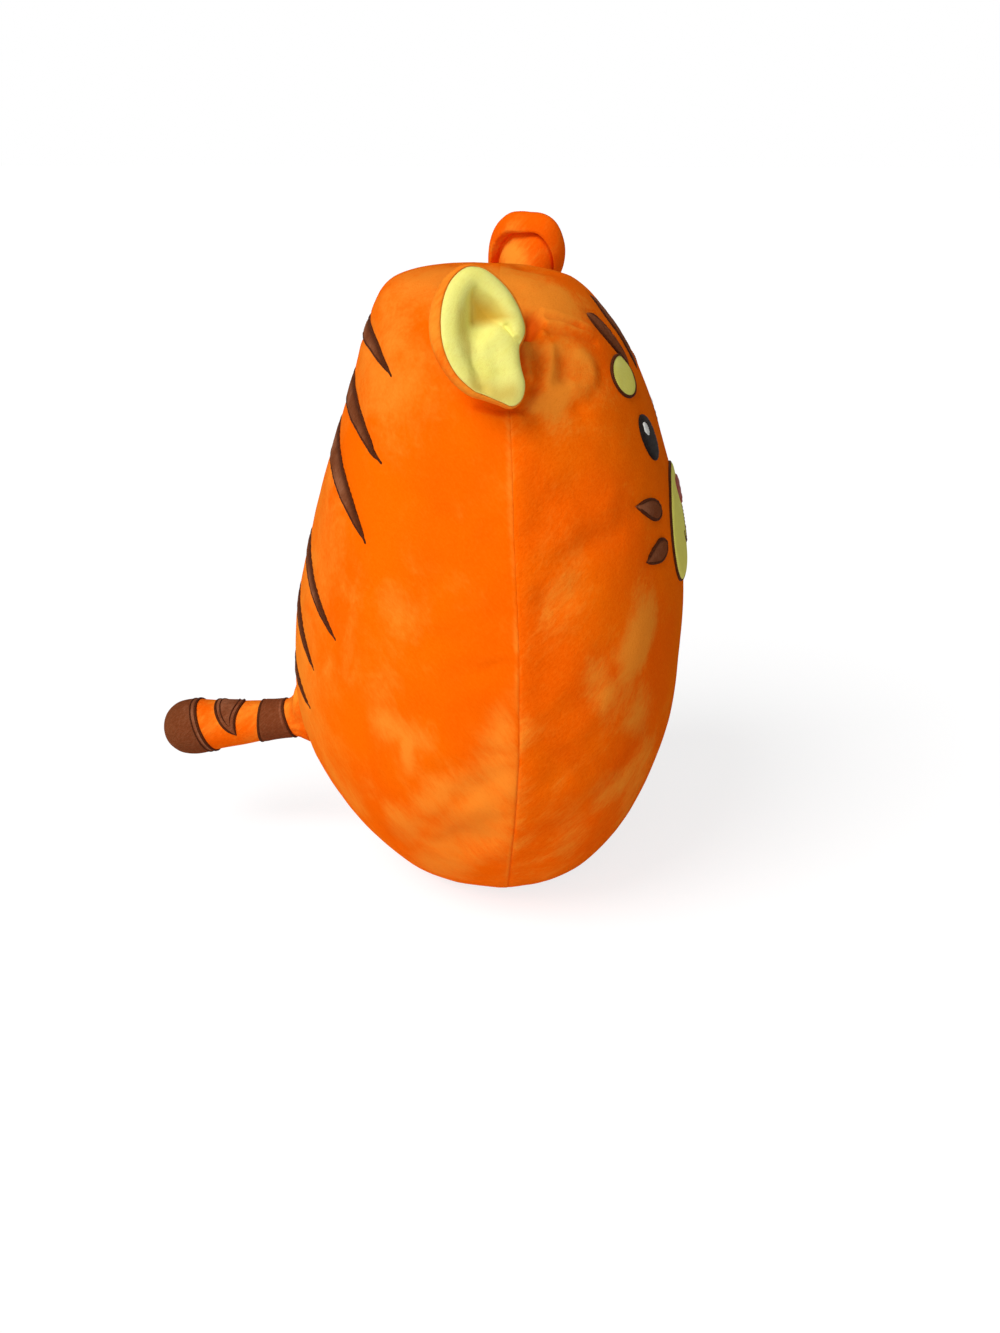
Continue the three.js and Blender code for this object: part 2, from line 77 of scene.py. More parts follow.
def unit(vectors):
    """The same directions, each with length 1."""
    return vectors / np.maximum(np.linalg.norm(vectors, axis=-1, keepdims=True), 1e-12)


# %% [markdown]
# ## Camera
# The photo looks at the toy's right side and a little down on it. A pinhole camera was fitted to
# the outline: 84 degrees round from the front, 21 degrees above level and 0.72 m away.

# %% Place the camera
AZIMUTH = math.radians(-84)
ELEVATION = math.radians(21)
DISTANCE = 0.72
FOCAL_LENGTH = 38.3
TARGET = Vector((0, -0.0096, 0.1019))


def add_object(name, data):
    """A new object in the scene."""
    thing = bpy.data.objects.new(name, data)
    bpy.context.scene.collection.objects.link(thing)
    return thing


level = math.cos(ELEVATION)
to_camera = Vector((math.sin(AZIMUTH) * level, -math.cos(AZIMUTH) * level, math.sin(ELEVATION)))
lens = bpy.data.cameras.new("side_view")
lens.lens = FOCAL_LENGTH
lens.sensor_width = 36
camera = add_object("side_view", lens)
camera.location = TARGET + to_camera * DISTANCE
camera.rotation_euler = to_camera.to_track_quat("Z", "Y").to_euler()
bpy.context.scene.camera = camera
print("camera", [round(value, 3) for value in camera.location])

# %% [markdown]
# ## Nodes
# A material is a tree of nodes whose sockets are joined by links. These short functions each add one
# node and hand back the socket that it ends in, so that a material reads like a formula.

# %% Define short ways to add nodes
def shader_tree(name):
    """A new material, its node tree and its main shader."""
    material = bpy.data.materials.new(name)
    material.use_nodes = True
    return material, material.node_tree, material.node_tree.nodes["Principled BSDF"]


def plug(tree, node, inputs):
    """Gives each named or numbered input of a node a plain value or a link from a socket."""
    for slot, value in inputs.items():
        if isinstance(value, bpy.types.NodeSocket):
            tree.links.new(value, node.inputs[slot])
        else:
            node.inputs[slot].default_value = value
    return node


def add_node(tree, kind, inputs, output=0, **settings):
    """A new node with these inputs and settings, as its output socket."""
    node = tree.nodes.new("ShaderNode" + kind)
    for name, value in settings.items():
        setattr(node, name, value)
    return plug(tree, node, inputs).outputs[output]


def stretched_noise(tree, scale, stretch=(1, 1, 1), turn=(0, 0, 0), detail=3, rough=0.55, swirl=0.0):
    """Noise in the object's own coordinates, turned, then made long along its axes, as a socket."""
    place = add_node(tree, "TexCoord", {}, "Object")
    turned = {"Vector": place, "Scale": stretch, "Rotation": turn}
    grain = {"Vector": add_node(tree, "Mapping", turned, vector_type="TEXTURE"), "Scale": scale,
             "Detail": detail, "Roughness": rough, "Distortion": swirl}
    return add_node(tree, "TexNoise", grain, "Fac")


def maths(tree, kind, first, second):
    """One arithmetic node over two sockets or numbers, as a socket."""
    return add_node(tree, "Math", {0: first, 1: second}, operation=kind)


def weighted(tree, *terms):
    """The sum of sockets, each times its weight, as a socket."""
    products = [maths(tree, "MULTIPLY", value, weight) for value, weight in terms]
    total = products[0]
    for product in products[1:]:
        total = maths(tree, "ADD", total, product)
    return total


def between(tree, value, low, high):
    """The value stretched so that low gives 0 and high gives 1, with soft ends."""
    limits = {"Value": value, "From Min": low, "From Max": high}
    return add_node(tree, "MapRange", limits, "Result", interpolation_type="SMOOTHSTEP")


def mixed(tree, amount, first, second):
    """Two colours mixed by a socket or number, as a socket. Slots 6 and 7 are those for colours."""
    first, second = ((*colour, 1) if isinstance(colour, tuple) else colour for colour in (first, second))
    return add_node(tree, "Mix", {0: amount, 6: first, 7: second}, 2, data_type="RGBA")


def marked(tree, name):
    """A number that the mesh holds at each point, as a socket."""
    return add_node(tree, "Attribute", {}, "Fac", attribute_name=name)


def bumped(tree, *layers):
    """Bumps one on another, as a socket: each has a height socket, a strength and a depth in metres."""
    below = {}
    for height, strength, depth in layers:
        bump = {"Height": height, "Strength": strength, "Distance": depth, **below}
        below = {"Normal": add_node(tree, "Bump", bump)}
    return below["Normal"]


print("a material starts with the nodes", [node.name for node in shader_tree("trial")[1].nodes])
bpy.data.materials.remove(bpy.data.materials["trial"])

# %% [markdown]
# ## Velour
# Velour is a knit with a short dense pile. Where a hand brushes the pile the other way it looks
# paler, in soft patches with streaks along the stroke. The colour therefore mixes a lying pile and a
# pale pile by noise, and each mesh can say where brushing turned it most. The same pale colour is
# also used for painted highlights, and a dark colour for painted shade in folds and hollows, where
# each mesh says. A fine bump gives the pile its grain, and sheen on the shader gives the pale edge
# that cloth shows at a glancing angle.

# %% Make the velour materials
def velour(name, lying, brushed_and_painted_highlight, shaded, painted_shade, stroke=(0.8, 0, 0.3), grainy=0.22, streaky=0.45):
    """Short dense pile: its colour lying, turned up by brushing and as painted highlight, seen end on, and
    as painted shade.
    """
    material, tree, shader = shader_tree(name)
    clouds = stretched_noise(tree, 46, (1, 1, 1.6), stroke, detail=4, swirl=0.9)
    streaks = stretched_noise(tree, 560, (1, 1, 4.5), stroke)
    fibres = stretched_noise(tree, 1300, (1, 1, 2.5), stroke, detail=2)
    grain = stretched_noise(tree, 2600, detail=2)
    field = weighted(tree, (clouds, 0.8), (streaks, streaky), (marked(tree, "brushed_and_painted_highlight"), 0.5))
    pepper = weighted(tree, (fibres, 0.6), (grain, 0.4))
    layers = [
        (between(tree, stretched_noise(tree, 19, detail=2), 0.36, 0.66), 0.7, shaded),
        # Patches turned up by brushing, and painted highlights where each mesh marks them.
        (between(tree, field, 0.43 + 0.5 * streaky, 0.97 + 0.5 * streaky), 1.0, brushed_and_painted_highlight),
        # Random pale and dark grains of the pile.
        (between(tree, pepper, 0.42, 0.72), grainy, brushed_and_painted_highlight),
        (between(tree, pepper, 0.55, 0.25), grainy, painted_shade),
        # Painted shade where each mesh marks it.
        (marked(tree, "painted_shade"), 1.0, painted_shade),
    ]
    colour = lying
    for amount, strength, over in layers:
        colour = mixed(tree, maths(tree, "MULTIPLY", amount, strength), colour, over)
    pile = bumped(tree, (streaks, 0.5 * streaky, 0.0006), (fibres, 0.35, 0.0004), (grain, 0.4, 0.0003))
    plug(tree, shader, {
        "Base Color": colour, "Normal": pile, "Roughness": 1.0, "Specular IOR Level": 0.0,
        "Sheen Weight": 0.22, "Sheen Roughness": 0.35, "Sheen Tint": (*brushed_and_painted_highlight, 1),
    })
    return material


back_velour = velour("back_velour", (0.93, 0.139, 0.0), (0.93, 0.245, 0.02), (0.93, 0.11, 0.0),
                     (0.62, 0.045, 0.0), stroke=(-0.7, 0, 0.2), grainy=0.14, streaky=0.3)
front_velour = velour("front_velour", (0.94, 0.138, 0.0), (0.92, 0.265, 0.022), (0.9, 0.1, 0.0),
                      (0.6, 0.055, 0.0), streaky=0.46)
ear_velour = velour("ear_velour", (0.9, 0.125, 0.001), (0.92, 0.285, 0.024), (0.9, 0.1, 0.001),
                    (0.6, 0.05, 0.001), grainy=0.14)
cream_velour = velour("cream_velour", (0.82, 0.76, 0.145), (0.86, 0.83, 0.25), (0.78, 0.69, 0.12),
                      (0.66, 0.41, 0.05), grainy=0.2, streaky=0.12)
brown_velour = velour("brown_velour", (0.175, 0.045, 0.0145), (0.38, 0.155, 0.078),
                      (0.165, 0.042, 0.013), (0.055, 0.012, 0.004), streaky=0.25)
print("velours:", [material.name for material in bpy.data.materials])

# %% [markdown]
# ## Thread and filling
# Embroidery thread is glossy rayon. Its stitches are modelled, so the shader adds only the fine
# strands along each stitch. The filling is loose polyester fibre, white, matt and woolly.

# %% Make the thread and filling materials
def thread(name, colour, pale):
    """Twisted rayon thread with a soft gloss."""
    material, tree, shader = shader_tree(name)
    strands = stretched_noise(tree, 2600, (1, 1, 3), (0.4, 0.9, 0.2), detail=2)
    plug(tree, shader, {
        "Base Color": mixed(tree, between(tree, strands, 0.35, 0.7), colour, pale),
        "Normal": bumped(tree, (strands, 0.4, 0.0002)), "Roughness": 0.7, "Specular IOR Level": 0.05,
    })
    return material


def fibre(name):
    """Loose white polyester filling."""
    material, tree, shader = shader_tree(name)
    wool = stretched_noise(tree, 420, detail=5, rough=0.7)
    plug(tree, shader, {
        "Base Color": mixed(tree, between(tree, wool, 0.3, 0.7), (0.7, 0.69, 0.66), (0.88, 0.87, 0.84)),
        "Normal": bumped(tree, (wool, 0.8, 0.002)), "Roughness": 1.0, "Sheen Weight": 0.3,
    })
    return material


dark_thread = thread("dark_thread", (0.052, 0.011, 0.003), (0.1, 0.028, 0.008))
black_thread = thread("black_thread", (0.009, 0.006, 0.005), (0.022, 0.015, 0.013))
white_thread = thread("white_thread", (0.85, 0.84, 0.8), (0.7, 0.69, 0.64))
rosy_thread = thread("rosy_thread", (0.3, 0.07, 0.05), (0.42, 0.12, 0.085))
fibre_filling = fibre("fibre_filling")
print("materials in all:", len(bpy.data.materials))

# %% [markdown]
# ## Meshes from grids
# A grid of points joined in quads makes every surface here. Each piece is closed: an outer and an
# inner surface joined round the edge, as real cloth has two faces. Points that fall on one another,
# as at the crown, are merged, and the faces are turned outward.

# %% Define how a piece is made
SAME_PLACE = 2e-6


def grid_quads(rows, columns, wrap=False, start=0):
    """Corner numbers of the quads of a grid that is stored row by row."""
    numbers = np.arange(rows * columns).reshape(rows, columns) + start
    if wrap:
        numbers = np.concatenate([numbers, numbers[:, :1]], axis=1)
    corners = [numbers[:-1, :-1], numbers[:-1, 1:], numbers[1:, 1:], numbers[1:, :-1]]
    return np.stack(corners, -1).reshape(-1, 4).tolist()


def ring_quads(first, second, count):
    """Quads that join two rings of points, whose first points have these numbers."""
    pairs = [(k, (k + 1) % count) for k in range(count)]
    return [(first + a, first + b, second + b, second + a) for a, b in pairs]


def ring_fan(first, pole, count):
    """Triangles from a ring of points to one point."""
    return [(pole, first + (k + 1) % count, first + k) for k in range(count)]


def make_solid(name, points, faces):
    """A smooth closed mesh as an object."""
    mesh = bpy.data.meshes.new(name)
    mesh.from_pydata(np.asarray(points).tolist(), [], faces)
    work = bmesh.new()
    work.from_mesh(mesh)
    bmesh.ops.remove_doubles(work, verts=work.verts, dist=SAME_PLACE)
    loose = [vertex for vertex in work.verts if not vertex.link_faces]
    bmesh.ops.delete(work, geom=loose, context="VERTS")
    bmesh.ops.recalc_face_normals(work, faces=work.faces)
    work.to_mesh(mesh)
    work.free()
    mesh.shade_smooth()
    return add_object(name, mesh)


def make_piece(name, points, faces, material, node=True):
    """A piece of the toy, which takes the place of the CAD node of its name unless node is False."""
    piece = make_solid(name + "_soft" if node else name, points, faces)
    piece.data.materials.append(material)
    if node:
        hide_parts(name)
    return piece


def ride_body(*pieces):
    """Lets pieces follow the body."""
    for piece in pieces:
        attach(piece, "body")


def coordinates(piece):
    """The points of a mesh as rows of x, y and z."""
    values = np.empty(len(piece.data.vertices) * 3)
    piece.data.vertices.foreach_get("co", values)
    return values.reshape(-1, 3)


def mark(piece, name, values):
    """Gives each point of a mesh a number that its material can read."""
    layer = piece.data.attributes.new(name, "FLOAT", "POINT")
    layer.data.foreach_set("value", np.asarray(values, np.float32))


def open_edges(*pieces):
    """How many edges of meshes don't join exactly two faces."""
    count = 0
    for piece in pieces:
        work = bmesh.new()
        work.from_mesh(piece.data)
        count += sum(len(edge.link_faces) != 2 for edge in work.edges)
        work.free()
    return count


print("quads of a closed grid of 3 by 4 points:", len(grid_quads(3, 4, wrap=True)))

# %% [markdown]
# ## The egg
# The body is defined by twelve levels. Each has a half width, a depth in front of the seam, a depth
# behind it and the place of the seam, in shares of the toy's size, and a smooth curve runs through
# them. These are the same numbers as in the engineering model, so the cloth lies where its solid is.

# %% Define the egg
BODY_HEIGHT = 0.300
BODY_WIDTH = 0.228
BODY_DEPTH = 0.192
LEVELS = np.array([
    [0, 0.33, 0.112, 0.235, -0.0625],
    [0.012, 0.46, 0.215, 0.275, -0.068],
    [0.055, 0.645, 0.278, 0.349, -0.078],
    [0.14, 0.83, 0.338, 0.47, -0.094],
    [0.27, 0.96, 0.383, 0.586, -0.115],
    [0.42, 1, 0.387, 0.608, -0.13],
    [0.57, 0.96, 0.381, 0.562, -0.13],
    [0.71, 0.87, 0.342, 0.491, -0.12],
    [0.83, 0.75, 0.294, 0.416, -0.104],
    [0.92, 0.58, 0.231, 0.36, -0.089],
    [0.98, 0.315, 0.142, 0.261, -0.068],
    [1, 0, 0, 0, -0.052],
]) * [BODY_HEIGHT, BODY_WIDTH / 2, BODY_DEPTH, BODY_DEPTH, BODY_DEPTH]
NORMAL_STEP = 0.4 * MM


def through_rows(rows, t):
    """A smooth curve through evenly timed rows of numbers, at times between 0 and 1."""
    rows = np.asarray(rows, float)
    place = np.clip(t, 0, 1) * (len(rows) - 1)
    first = np.minimum(place.astype(int), len(rows) - 2)
    f = (place - first)[..., None]
    a, b, c, d = (rows[np.clip(first + k, 0, len(rows) - 1)] for k in (-1, 0, 1, 2))
    leave, arrive = (c - a) / 2, (d - b) / 2
    cubic = (2 * b - 2 * c + leave + arrive) * f**3
    return cubic + (3 * c - 3 * b - 2 * leave - arrive) * f**2 + leave * f + b


LEVEL_TABLE = through_rows(LEVELS, np.linspace(0, 1, 4000))
SEAM_SHIFT = np.array([(0, 6.4), (25, 6.7), (60, 6.8), (100, 6.3), (125, 4.9), (150, 4.3), (175, 3.2),
                       (200, 2.4), (245, 2.8), (262, 2.4), (282, 0.8), (300, 0)]) * MM


def egg_point(t, angle, inset=0.0):
    """Points of the egg at a level time and an angle round it, 0 at the left seam, drawn in by inset."""
    t, angle = np.broadcast_arrays(t, angle)
    height, width, front, back, seam = np.moveaxis(through_rows(LEVELS, t), -1, 0)
    depth = np.maximum(np.where(np.sin(angle) > 0, back, front) - inset, 0)
    x = np.maximum(width - inset, 0) * np.cos(angle)
    z = inset + height * (BODY_HEIGHT - 2 * inset) / BODY_HEIGHT
    return np.stack([x, seam + depth * np.sin(angle), z], -1)


def egg_shell(levels, sectors, inset):
    """Points of the egg level by level, the middle of its base, and the faces of both together."""
    t = np.linspace(0, 1, levels)[:, None]
    angle = turns(sectors)
    points = egg_point(t, angle, inset).reshape(-1, 3)
    faces = grid_quads(levels, sectors, wrap=True) + ring_fan(0, len(points), sectors)
    return points, [[0, LEVELS[0, 4], inset]], faces


def level_at(z):
    """Half width, front depth, back depth and seam place at heights."""
    return [np.interp(z, LEVEL_TABLE[:, 0], LEVEL_TABLE[:, column]) for column in (1, 2, 3, 4)]


def seam_shift(z):
    """How far in front of the widest line the side seam runs at heights."""
    return np.interp(z, SEAM_SHIFT[:, 0], SEAM_SHIFT[:, 1])


def seam_place(z):
    """The side seam's place from front to back at heights."""
    return level_at(z)[3] - seam_shift(z)


def egg_normal(points):
    """Which way the egg's surface faces at points on or near it."""
    x, y, z = np.moveaxis(points, -1, 0)

    def section(height):
        width, front, back, seam = level_at(np.clip(height, NORMAL_STEP, BODY_HEIGHT - NORMAL_STEP))
        return width, np.where(y > seam, back, front), y - seam

    def measure(height):
        width, depth, behind = section(height)
        return (x / width) ** 2 + (behind / depth) ** 2

    width, depth, behind = section(z)
    rise = (measure(z + NORMAL_STEP) - measure(z - NORMAL_STEP)) / (2 * NORMAL_STEP)
    facing = np.stack([2 * x / width**2, 2 * behind / depth**2, rise], -1)
    facing[z > BODY_HEIGHT - 0.6 * MM] = (0, 0, 1)
    facing[z < 0.6 * MM] += (0, 0, -1000)
    return unit(facing)


print("egg levels:", len(LEVELS), "widest, mm:", round(LEVEL_TABLE[:, 1].max() * 2 / MM))

# %% [markdown]
# ## Fill the body
# Real filling presses the cloth outward between the seams, and where an ear, the tail or a seam
# holds it the cloth stays in. Cloth simulation does just that: the egg is remeshed evenly, held
# along its seams and roots, and put under pressure for twenty steps. Each dense panel below then
# takes its place from this form, and no point may move more than a few millimetres.

# %% Simulate the filled body
SEWN_EAR = np.array([0.0764, -0.0184, 0.2662])
TAIL_ROOT = np.array([0, 0.093871, 0.069727])
SIM_INSET = 2.3 * MM
SIM_EDGE = 5.8 * MM
HOLD_REACH = 7 * MM
SIM_STEPS = 20
LARGEST_MOVE = 4 * MM


def held_weight(points):
    """How firmly each point is held: 1 at seams, roots and the base, 0 where the cloth is free."""
    seam = np.abs(points[:, 1] - seam_place(points[:, 2]))
    held = np.clip(1.1 - seam / HOLD_REACH, 0, 1)
    for side in (-1, 1):
        away = (points - SEWN_EAR * [side, 1, 1]) * [1, 1, 0.4]
        held = np.maximum(held, np.clip(1.6 - lengths(away) / (9 * MM), 0, 1))
    tail = lengths(points - TAIL_ROOT)
    held = np.maximum(held, np.clip(2.4 - tail / HOLD_REACH, 0, 1))
    return np.where(points[:, 2] < 4 * MM, 1, held)


def filled_form():
    """A tree of the filled body's surface, to be hit by rays."""
    points, centre, faces = egg_shell(90, 120, SIM_INSET)
    form = make_solid("filled_form", np.concatenate([points, centre]), faces)
    even = form.modifiers.new("even_mesh", "REMESH")
    even.mode = "VOXEL"
    even.voxel_size = SIM_EDGE
    graph = bpy.context.evaluated_depsgraph_get()
    form.data = bpy.data.meshes.new_from_object(form.evaluated_get(graph))
    form.modifiers.clear()
    held = form.vertex_groups.new(name="held")
    for number, weight in enumerate(held_weight(coordinates(form))):
        if weight > 0:
            held.add([number], float(weight), "REPLACE")
    cloth = form.modifiers.new("filling_pressure", "CLOTH")
    cloth.settings.quality = 6
    cloth.settings.mass = 0.3
    cloth.settings.bending_stiffness = 0.5
    cloth.settings.vertex_group_mass = "held"
    cloth.settings.use_pressure = True
    cloth.settings.uniform_pressure_force = 4.0
    cloth.settings.shrink_min = -0.02
    cloth.settings.effector_weights.gravity = 0
    cloth.point_cache.frame_start = 1
    cloth.point_cache.frame_end = SIM_STEPS
    for step in range(1, SIM_STEPS + 1):
        bpy.context.scene.frame_set(step)
    finer = form.modifiers.new("finer", "SUBSURF")
    finer.levels = 1
    graph = bpy.context.evaluated_depsgraph_get()
    pressed = form.evaluated_get(graph).to_mesh()
    corners = [vertex.co.copy() for vertex in pressed.vertices]
    tree = BVHTree.FromPolygons(corners, [list(face.vertices) for face in pressed.polygons])
    bpy.data.objects.remove(form)
    bpy.context.scene.frame_set(1)
    return tree


filled_tree = filled_form()
print("filled form simulated:", filled_tree is not None)

# %% [markdown]
# ## Where the stripes go
# Six stripes cross the spine like saddles and droop to a point on each flank, and small leaf-shaped
# ones mark the forehead and the cheeks. Their outlines are flat curves, seen from the front or the
# back. They are needed before the panels, because stitching a patch down draws the panel in.

# %% Define the stripes' outlines
BACK_STRIPES = [
    (0.52, 0.857, 0.922, 0.028),
    (0.648, 0.74, 0.842, 0.038),
    (0.712, 0.627, 0.768, 0.046),
    (0.693, 0.473, 0.583, 0.025),
    (0.57, 0.405, 0.494, 0.026),
    (0.518, 0.332, 0.387, 0.024),
]


def place_at(across, height):
    """A flat place from shares of half the body's width and of its height."""
    return np.array([across * BODY_WIDTH / 2, height * BODY_HEIGHT])


def bezier(start, first, second, end, count=28):
    """Points of a cubic curve, without its end."""
    t = np.linspace(0, 1, count, endpoint=False)[:, None]
    curve = (1 - t) ** 3 * start + 3 * (1 - t) ** 2 * t * first
    return curve + 3 * (1 - t) * t**2 * second + t**3 * end


def there_and_back(start, *curves, mirror=(-1, 1)):
    """A line along curves, each two handles and an end, and back along their mirror image."""
    starts = [start] + [curve[2] for curve in curves]
    there = [bezier(begin, *curve) for begin, curve in zip(starts, curves)]
    back = [bezier(*(place * np.array(mirror) for place in (*reversed(curve), begin)))
            for begin, curve in reversed(list(zip(starts, curves)))]
    return np.concatenate(there + back)


def saddle(half, tip, crown, depth):
    """Outline of a stripe over the spine: half span, then heights of tip and crown, and its depth."""
    rise, low = crown - tip, crown - depth
    upper = [place_at(-0.74 * half, tip + 0.7 * rise), place_at(-0.34 * half, crown), place_at(0, crown)]
    lower = [place_at(0.7 * half, tip + 0.5 * rise), place_at(0.34 * half, low), place_at(0, low)]
    return np.concatenate([
        there_and_back(place_at(-half, tip), upper),
        there_and_back(place_at(half, tip), lower),
    ])


def leaf(root, tip, fullness):
    """Outline of a leaf from its root to its point."""
    reach = tip - root
    side = np.array([-reach[1], reach[0]]) * 0.64 * fullness
    return np.concatenate([
        bezier(root, root + reach * 0.08 + side, root + reach * 0.55 + side, tip),
        bezier(tip, root + reach * 0.55 - side, root + reach * 0.08 - side, root),
    ])


def front_stripes():
    """The outlines of the stripes on the forehead and the cheeks, by name."""
    outlines = {"middle_forehead_stripe": leaf(place_at(0, 0.953), place_at(0, 0.84), 0.36)}
    for name, sign in (("left", 1), ("right", -1)):
        shapes = {
            "forehead": leaf(place_at(sign * 0.24, 0.937), place_at(sign * 0.15, 0.852), 0.38),
            "upper_cheek": leaf(place_at(sign * 0.385, 0.655), place_at(sign * 0.575, 0.68), 0.42),
            "lower_cheek": leaf(place_at(sign * 0.395, 0.607), place_at(sign * 0.59, 0.597), 0.42),
        }
        outlines.update({f"{name}_{place}_stripe": shape for place, shape in shapes.items()})
    return outlines


FRONT_STRIPES = front_stripes()
BACK_OUTLINES = [saddle(*shares) for shares in BACK_STRIPES]
print("stripes:", len(BACK_OUTLINES), "on the back and", len(FRONT_STRIPES), "in front")

# %% [markdown]
# ## Folds, dimples and the seam
# In front of each ear the cloth is pulled in and radiates soft folds, and the back shows a few
# shallow ones. Each fold is a line on the body with a height and a width, and the surface rises or
# sinks by a smooth bell around it. The side seam is a narrow groove, with a pucker at each stitch.

# %% List the folds
# Each row: points in mm on the toy's right side, height in mm, width in mm.
EAR_FOLDS = [
    ([(-55, -29.3, 282), (-61.5, -28.8, 277.8)], -4.6, 3.9),
    ([(-56, -30, 281.5), (-61, -30, 278)], -1.2, 7.0),
    ([(-58.6, -34.1, 277.8), (-63.4, -30.7, 275.5), (-67.5, -26.8, 273.1)], 1.9, 2.2),
    ([(-50.5, -34.6, 282.8), (-57.4, -35.4, 278.2)], 0.6, 2.4),
    ([(-47, -34, 285.1), (-44.5, -40.3, 283.2), (-40.9, -47, 280.3), (-36.2, -53.8, 276.4)], 0.75, 1.5),
    ([(-49.7, -35.5, 282.9), (-46.7, -41.3, 281.4), (-41.8, -48.8, 278.3)], -0.8, 1.6),
    ([(-52.4, -35.7, 281.2), (-49, -41.5, 280), (-45.7, -47.8, 277.1), (-40.4, -54.5, 273.5)], 0.75, 1.5),
    ([(-56, -36, 278.7), (-51, -45.1, 276.1), (-42.4, -55.5, 271.3)], -1.1, 2.4),
    ([(-68.7, -27.8, 271.7), (-72.4, -28.5, 267.3), (-75.9, -30.1, 262.1)], 1.3, 2.4),
    ([(-67.7, -34, 270), (-72.6, -34.4, 264.1), (-77.3, -34, 257.8)], -1.1, 3.2),
    ([(-62.4, -38.6, 272.2), (-69.1, -39.2, 264.9), (-74, -38.4, 259.4)], 1.0, 2.4),
    ([(-63.2, -44.3, 267), (-67.8, -45.1, 261)], -1.3, 4.4),
    ([(-54.2, -51, 268.2), (-53.9, -55.8, 262.3), (-59.8, -55.8, 256.5), (-69.8, -50, 252.6),
      (-77.9, -41.3, 251)], 0.85, 4.0),
    ([(-50.6, -59.1, 260.2), (-58, -58.7, 253.7), (-70.6, -51.8, 249)], -0.8, 3.8),
    ([(-81.3, -35.3, 250.7), (-75.1, -41.9, 254.7), (-68.2, -48.5, 256.5)], 0.9, 3.0),
    ([(-78.5, -32.9, 256.8), (-81.4, -31.1, 253.1), (-84.3, -28.4, 249.5)], -1.3, 2.6),
    ([(-83.8, -10.1, 251.1), (-85.2, -18.6, 249.4), (-84.9, -24.8, 249.5)], -1.4, 2.4),
    ([(-84.6, -5.9, 248.2), (-86.8, -18.7, 246.4), (-85.8, -26.9, 247.2)], 0.9, 1.8),
]
FLANK_FOLDS = [
    ([(-84, 42, 178), (-86, 44, 150), (-88, 42, 128)], 0.9, 7.0),
    ([(-103, 22, 101), (-99, 16, 88), (-93, 14, 74)], 0.7, 3.6),
    ([(-90, 32, 96), (-84, 30, 74)], -0.8, 8.0),
    ([(-74, -78, 150), (-88, -66, 128), (-96, -56, 118)], 0.9, 9.0),
    ([(-66, -80, 100), (-82, -68, 84), (-92, -48, 70)], -0.9, 9.0),
    ([(-97, -30, 60), (-84, -2, 34)], 0.8, 8.0),
    ([(-96, 4, 64), (-80, 28, 44)], -0.9, 9.0),
]
print("folds on each side:", len(EAR_FOLDS) + len(FLANK_FOLDS))

# %% [markdown]
# Such lines are used all through the lesson: as folds, as strokes of a hand over the pile and as
# outlines. These functions tell how far points are from a line and which lie inside a closed one.

# %% Define how far points are from a line
def off_line(points, line, closed=False):
    """How far points are from a broken line."""
    line = np.asarray(line, float)
    if closed:
        line = np.concatenate([line, line[:1]])
    nearest = np.full(len(points), 1e9)
    for start, step in zip(line[:-1], np.diff(line, axis=0)):
        share = np.clip(((points - start) @ step) / np.linalg.norm(step) ** 2, 0, 1)
        nearest = np.minimum(nearest, lengths(points - start - share[:, None] * step))
    return nearest


def inside(outline, flat):
    """Which flat places lie inside an outline."""
    x, z = flat[:, 0][:, None], flat[:, 1][:, None]
    ahead = np.roll(outline, -1, axis=0)
    crosses = (outline[:, 1] > z) != (ahead[:, 1] > z)
    rise = np.where(ahead[:, 1] == outline[:, 1], 1e-12, ahead[:, 1] - outline[:, 1])
    where = outline[:, 0] + (z - outline[:, 1]) * (ahead[:, 0] - outline[:, 0]) / rise
    return (crosses & (x < where)).sum(1) % 2 == 1


def depth_inside(outline, flat):
    """How far flat places lie inside an outline, and below zero outside it."""
    gap = off_line(flat, outline, closed=True)
    return np.where(inside(outline, flat), gap, -gap)


def bell(distance, width):
    """1 on a line and falling smoothly to 0 about two widths away."""
    return np.exp(-((distance / width) ** 2))


def smooth_step(value, low, high):
    """0 below low, 1 above high, and smooth between."""
    share = np.clip((value - low) / (high - low), 0, 1)
    return share * share * (3 - 2 * share)


print("a bell one width off its line:", round(float(bell(1, 1)), 2))

# %% [markdown]
# The cloth lies off the plain egg by the sum of five lifts: the filling's pressure, a little
# unevenness, the folds, the side seam and the stitching of the stripes.

# %% Define how the body's cloth moves from the plain egg
SEAM_STITCH = 3.2 * MM


def fold_lift(points):
    """The lift of all the folds, which the left side has too, a little weaker."""
    lift = np.zeros(len(points))
    for side, strength in ((1, 1.0), (-1, 0.8)):
        for line, height, width in EAR_FOLDS + FLANK_FOLDS:
            line = through_rows(np.array(line) * MM * [side, 1, 1], np.linspace(0, 1, 9))
            near = lengths(points - line.mean(0)) < 90 * MM
            lift[near] += strength * height * MM * bell(off_line(points[near], line), width * MM)
    return lift


def soft_noise(points, size, seed):
    """Smooth noise from -1 to 1 whose lumps are about this size, in metres."""
    shift = Vector((seed * 3.7, seed * 1.3, seed * 2.9))
    return np.array([noise.noise(Vector(point) / size + shift) for point in points])


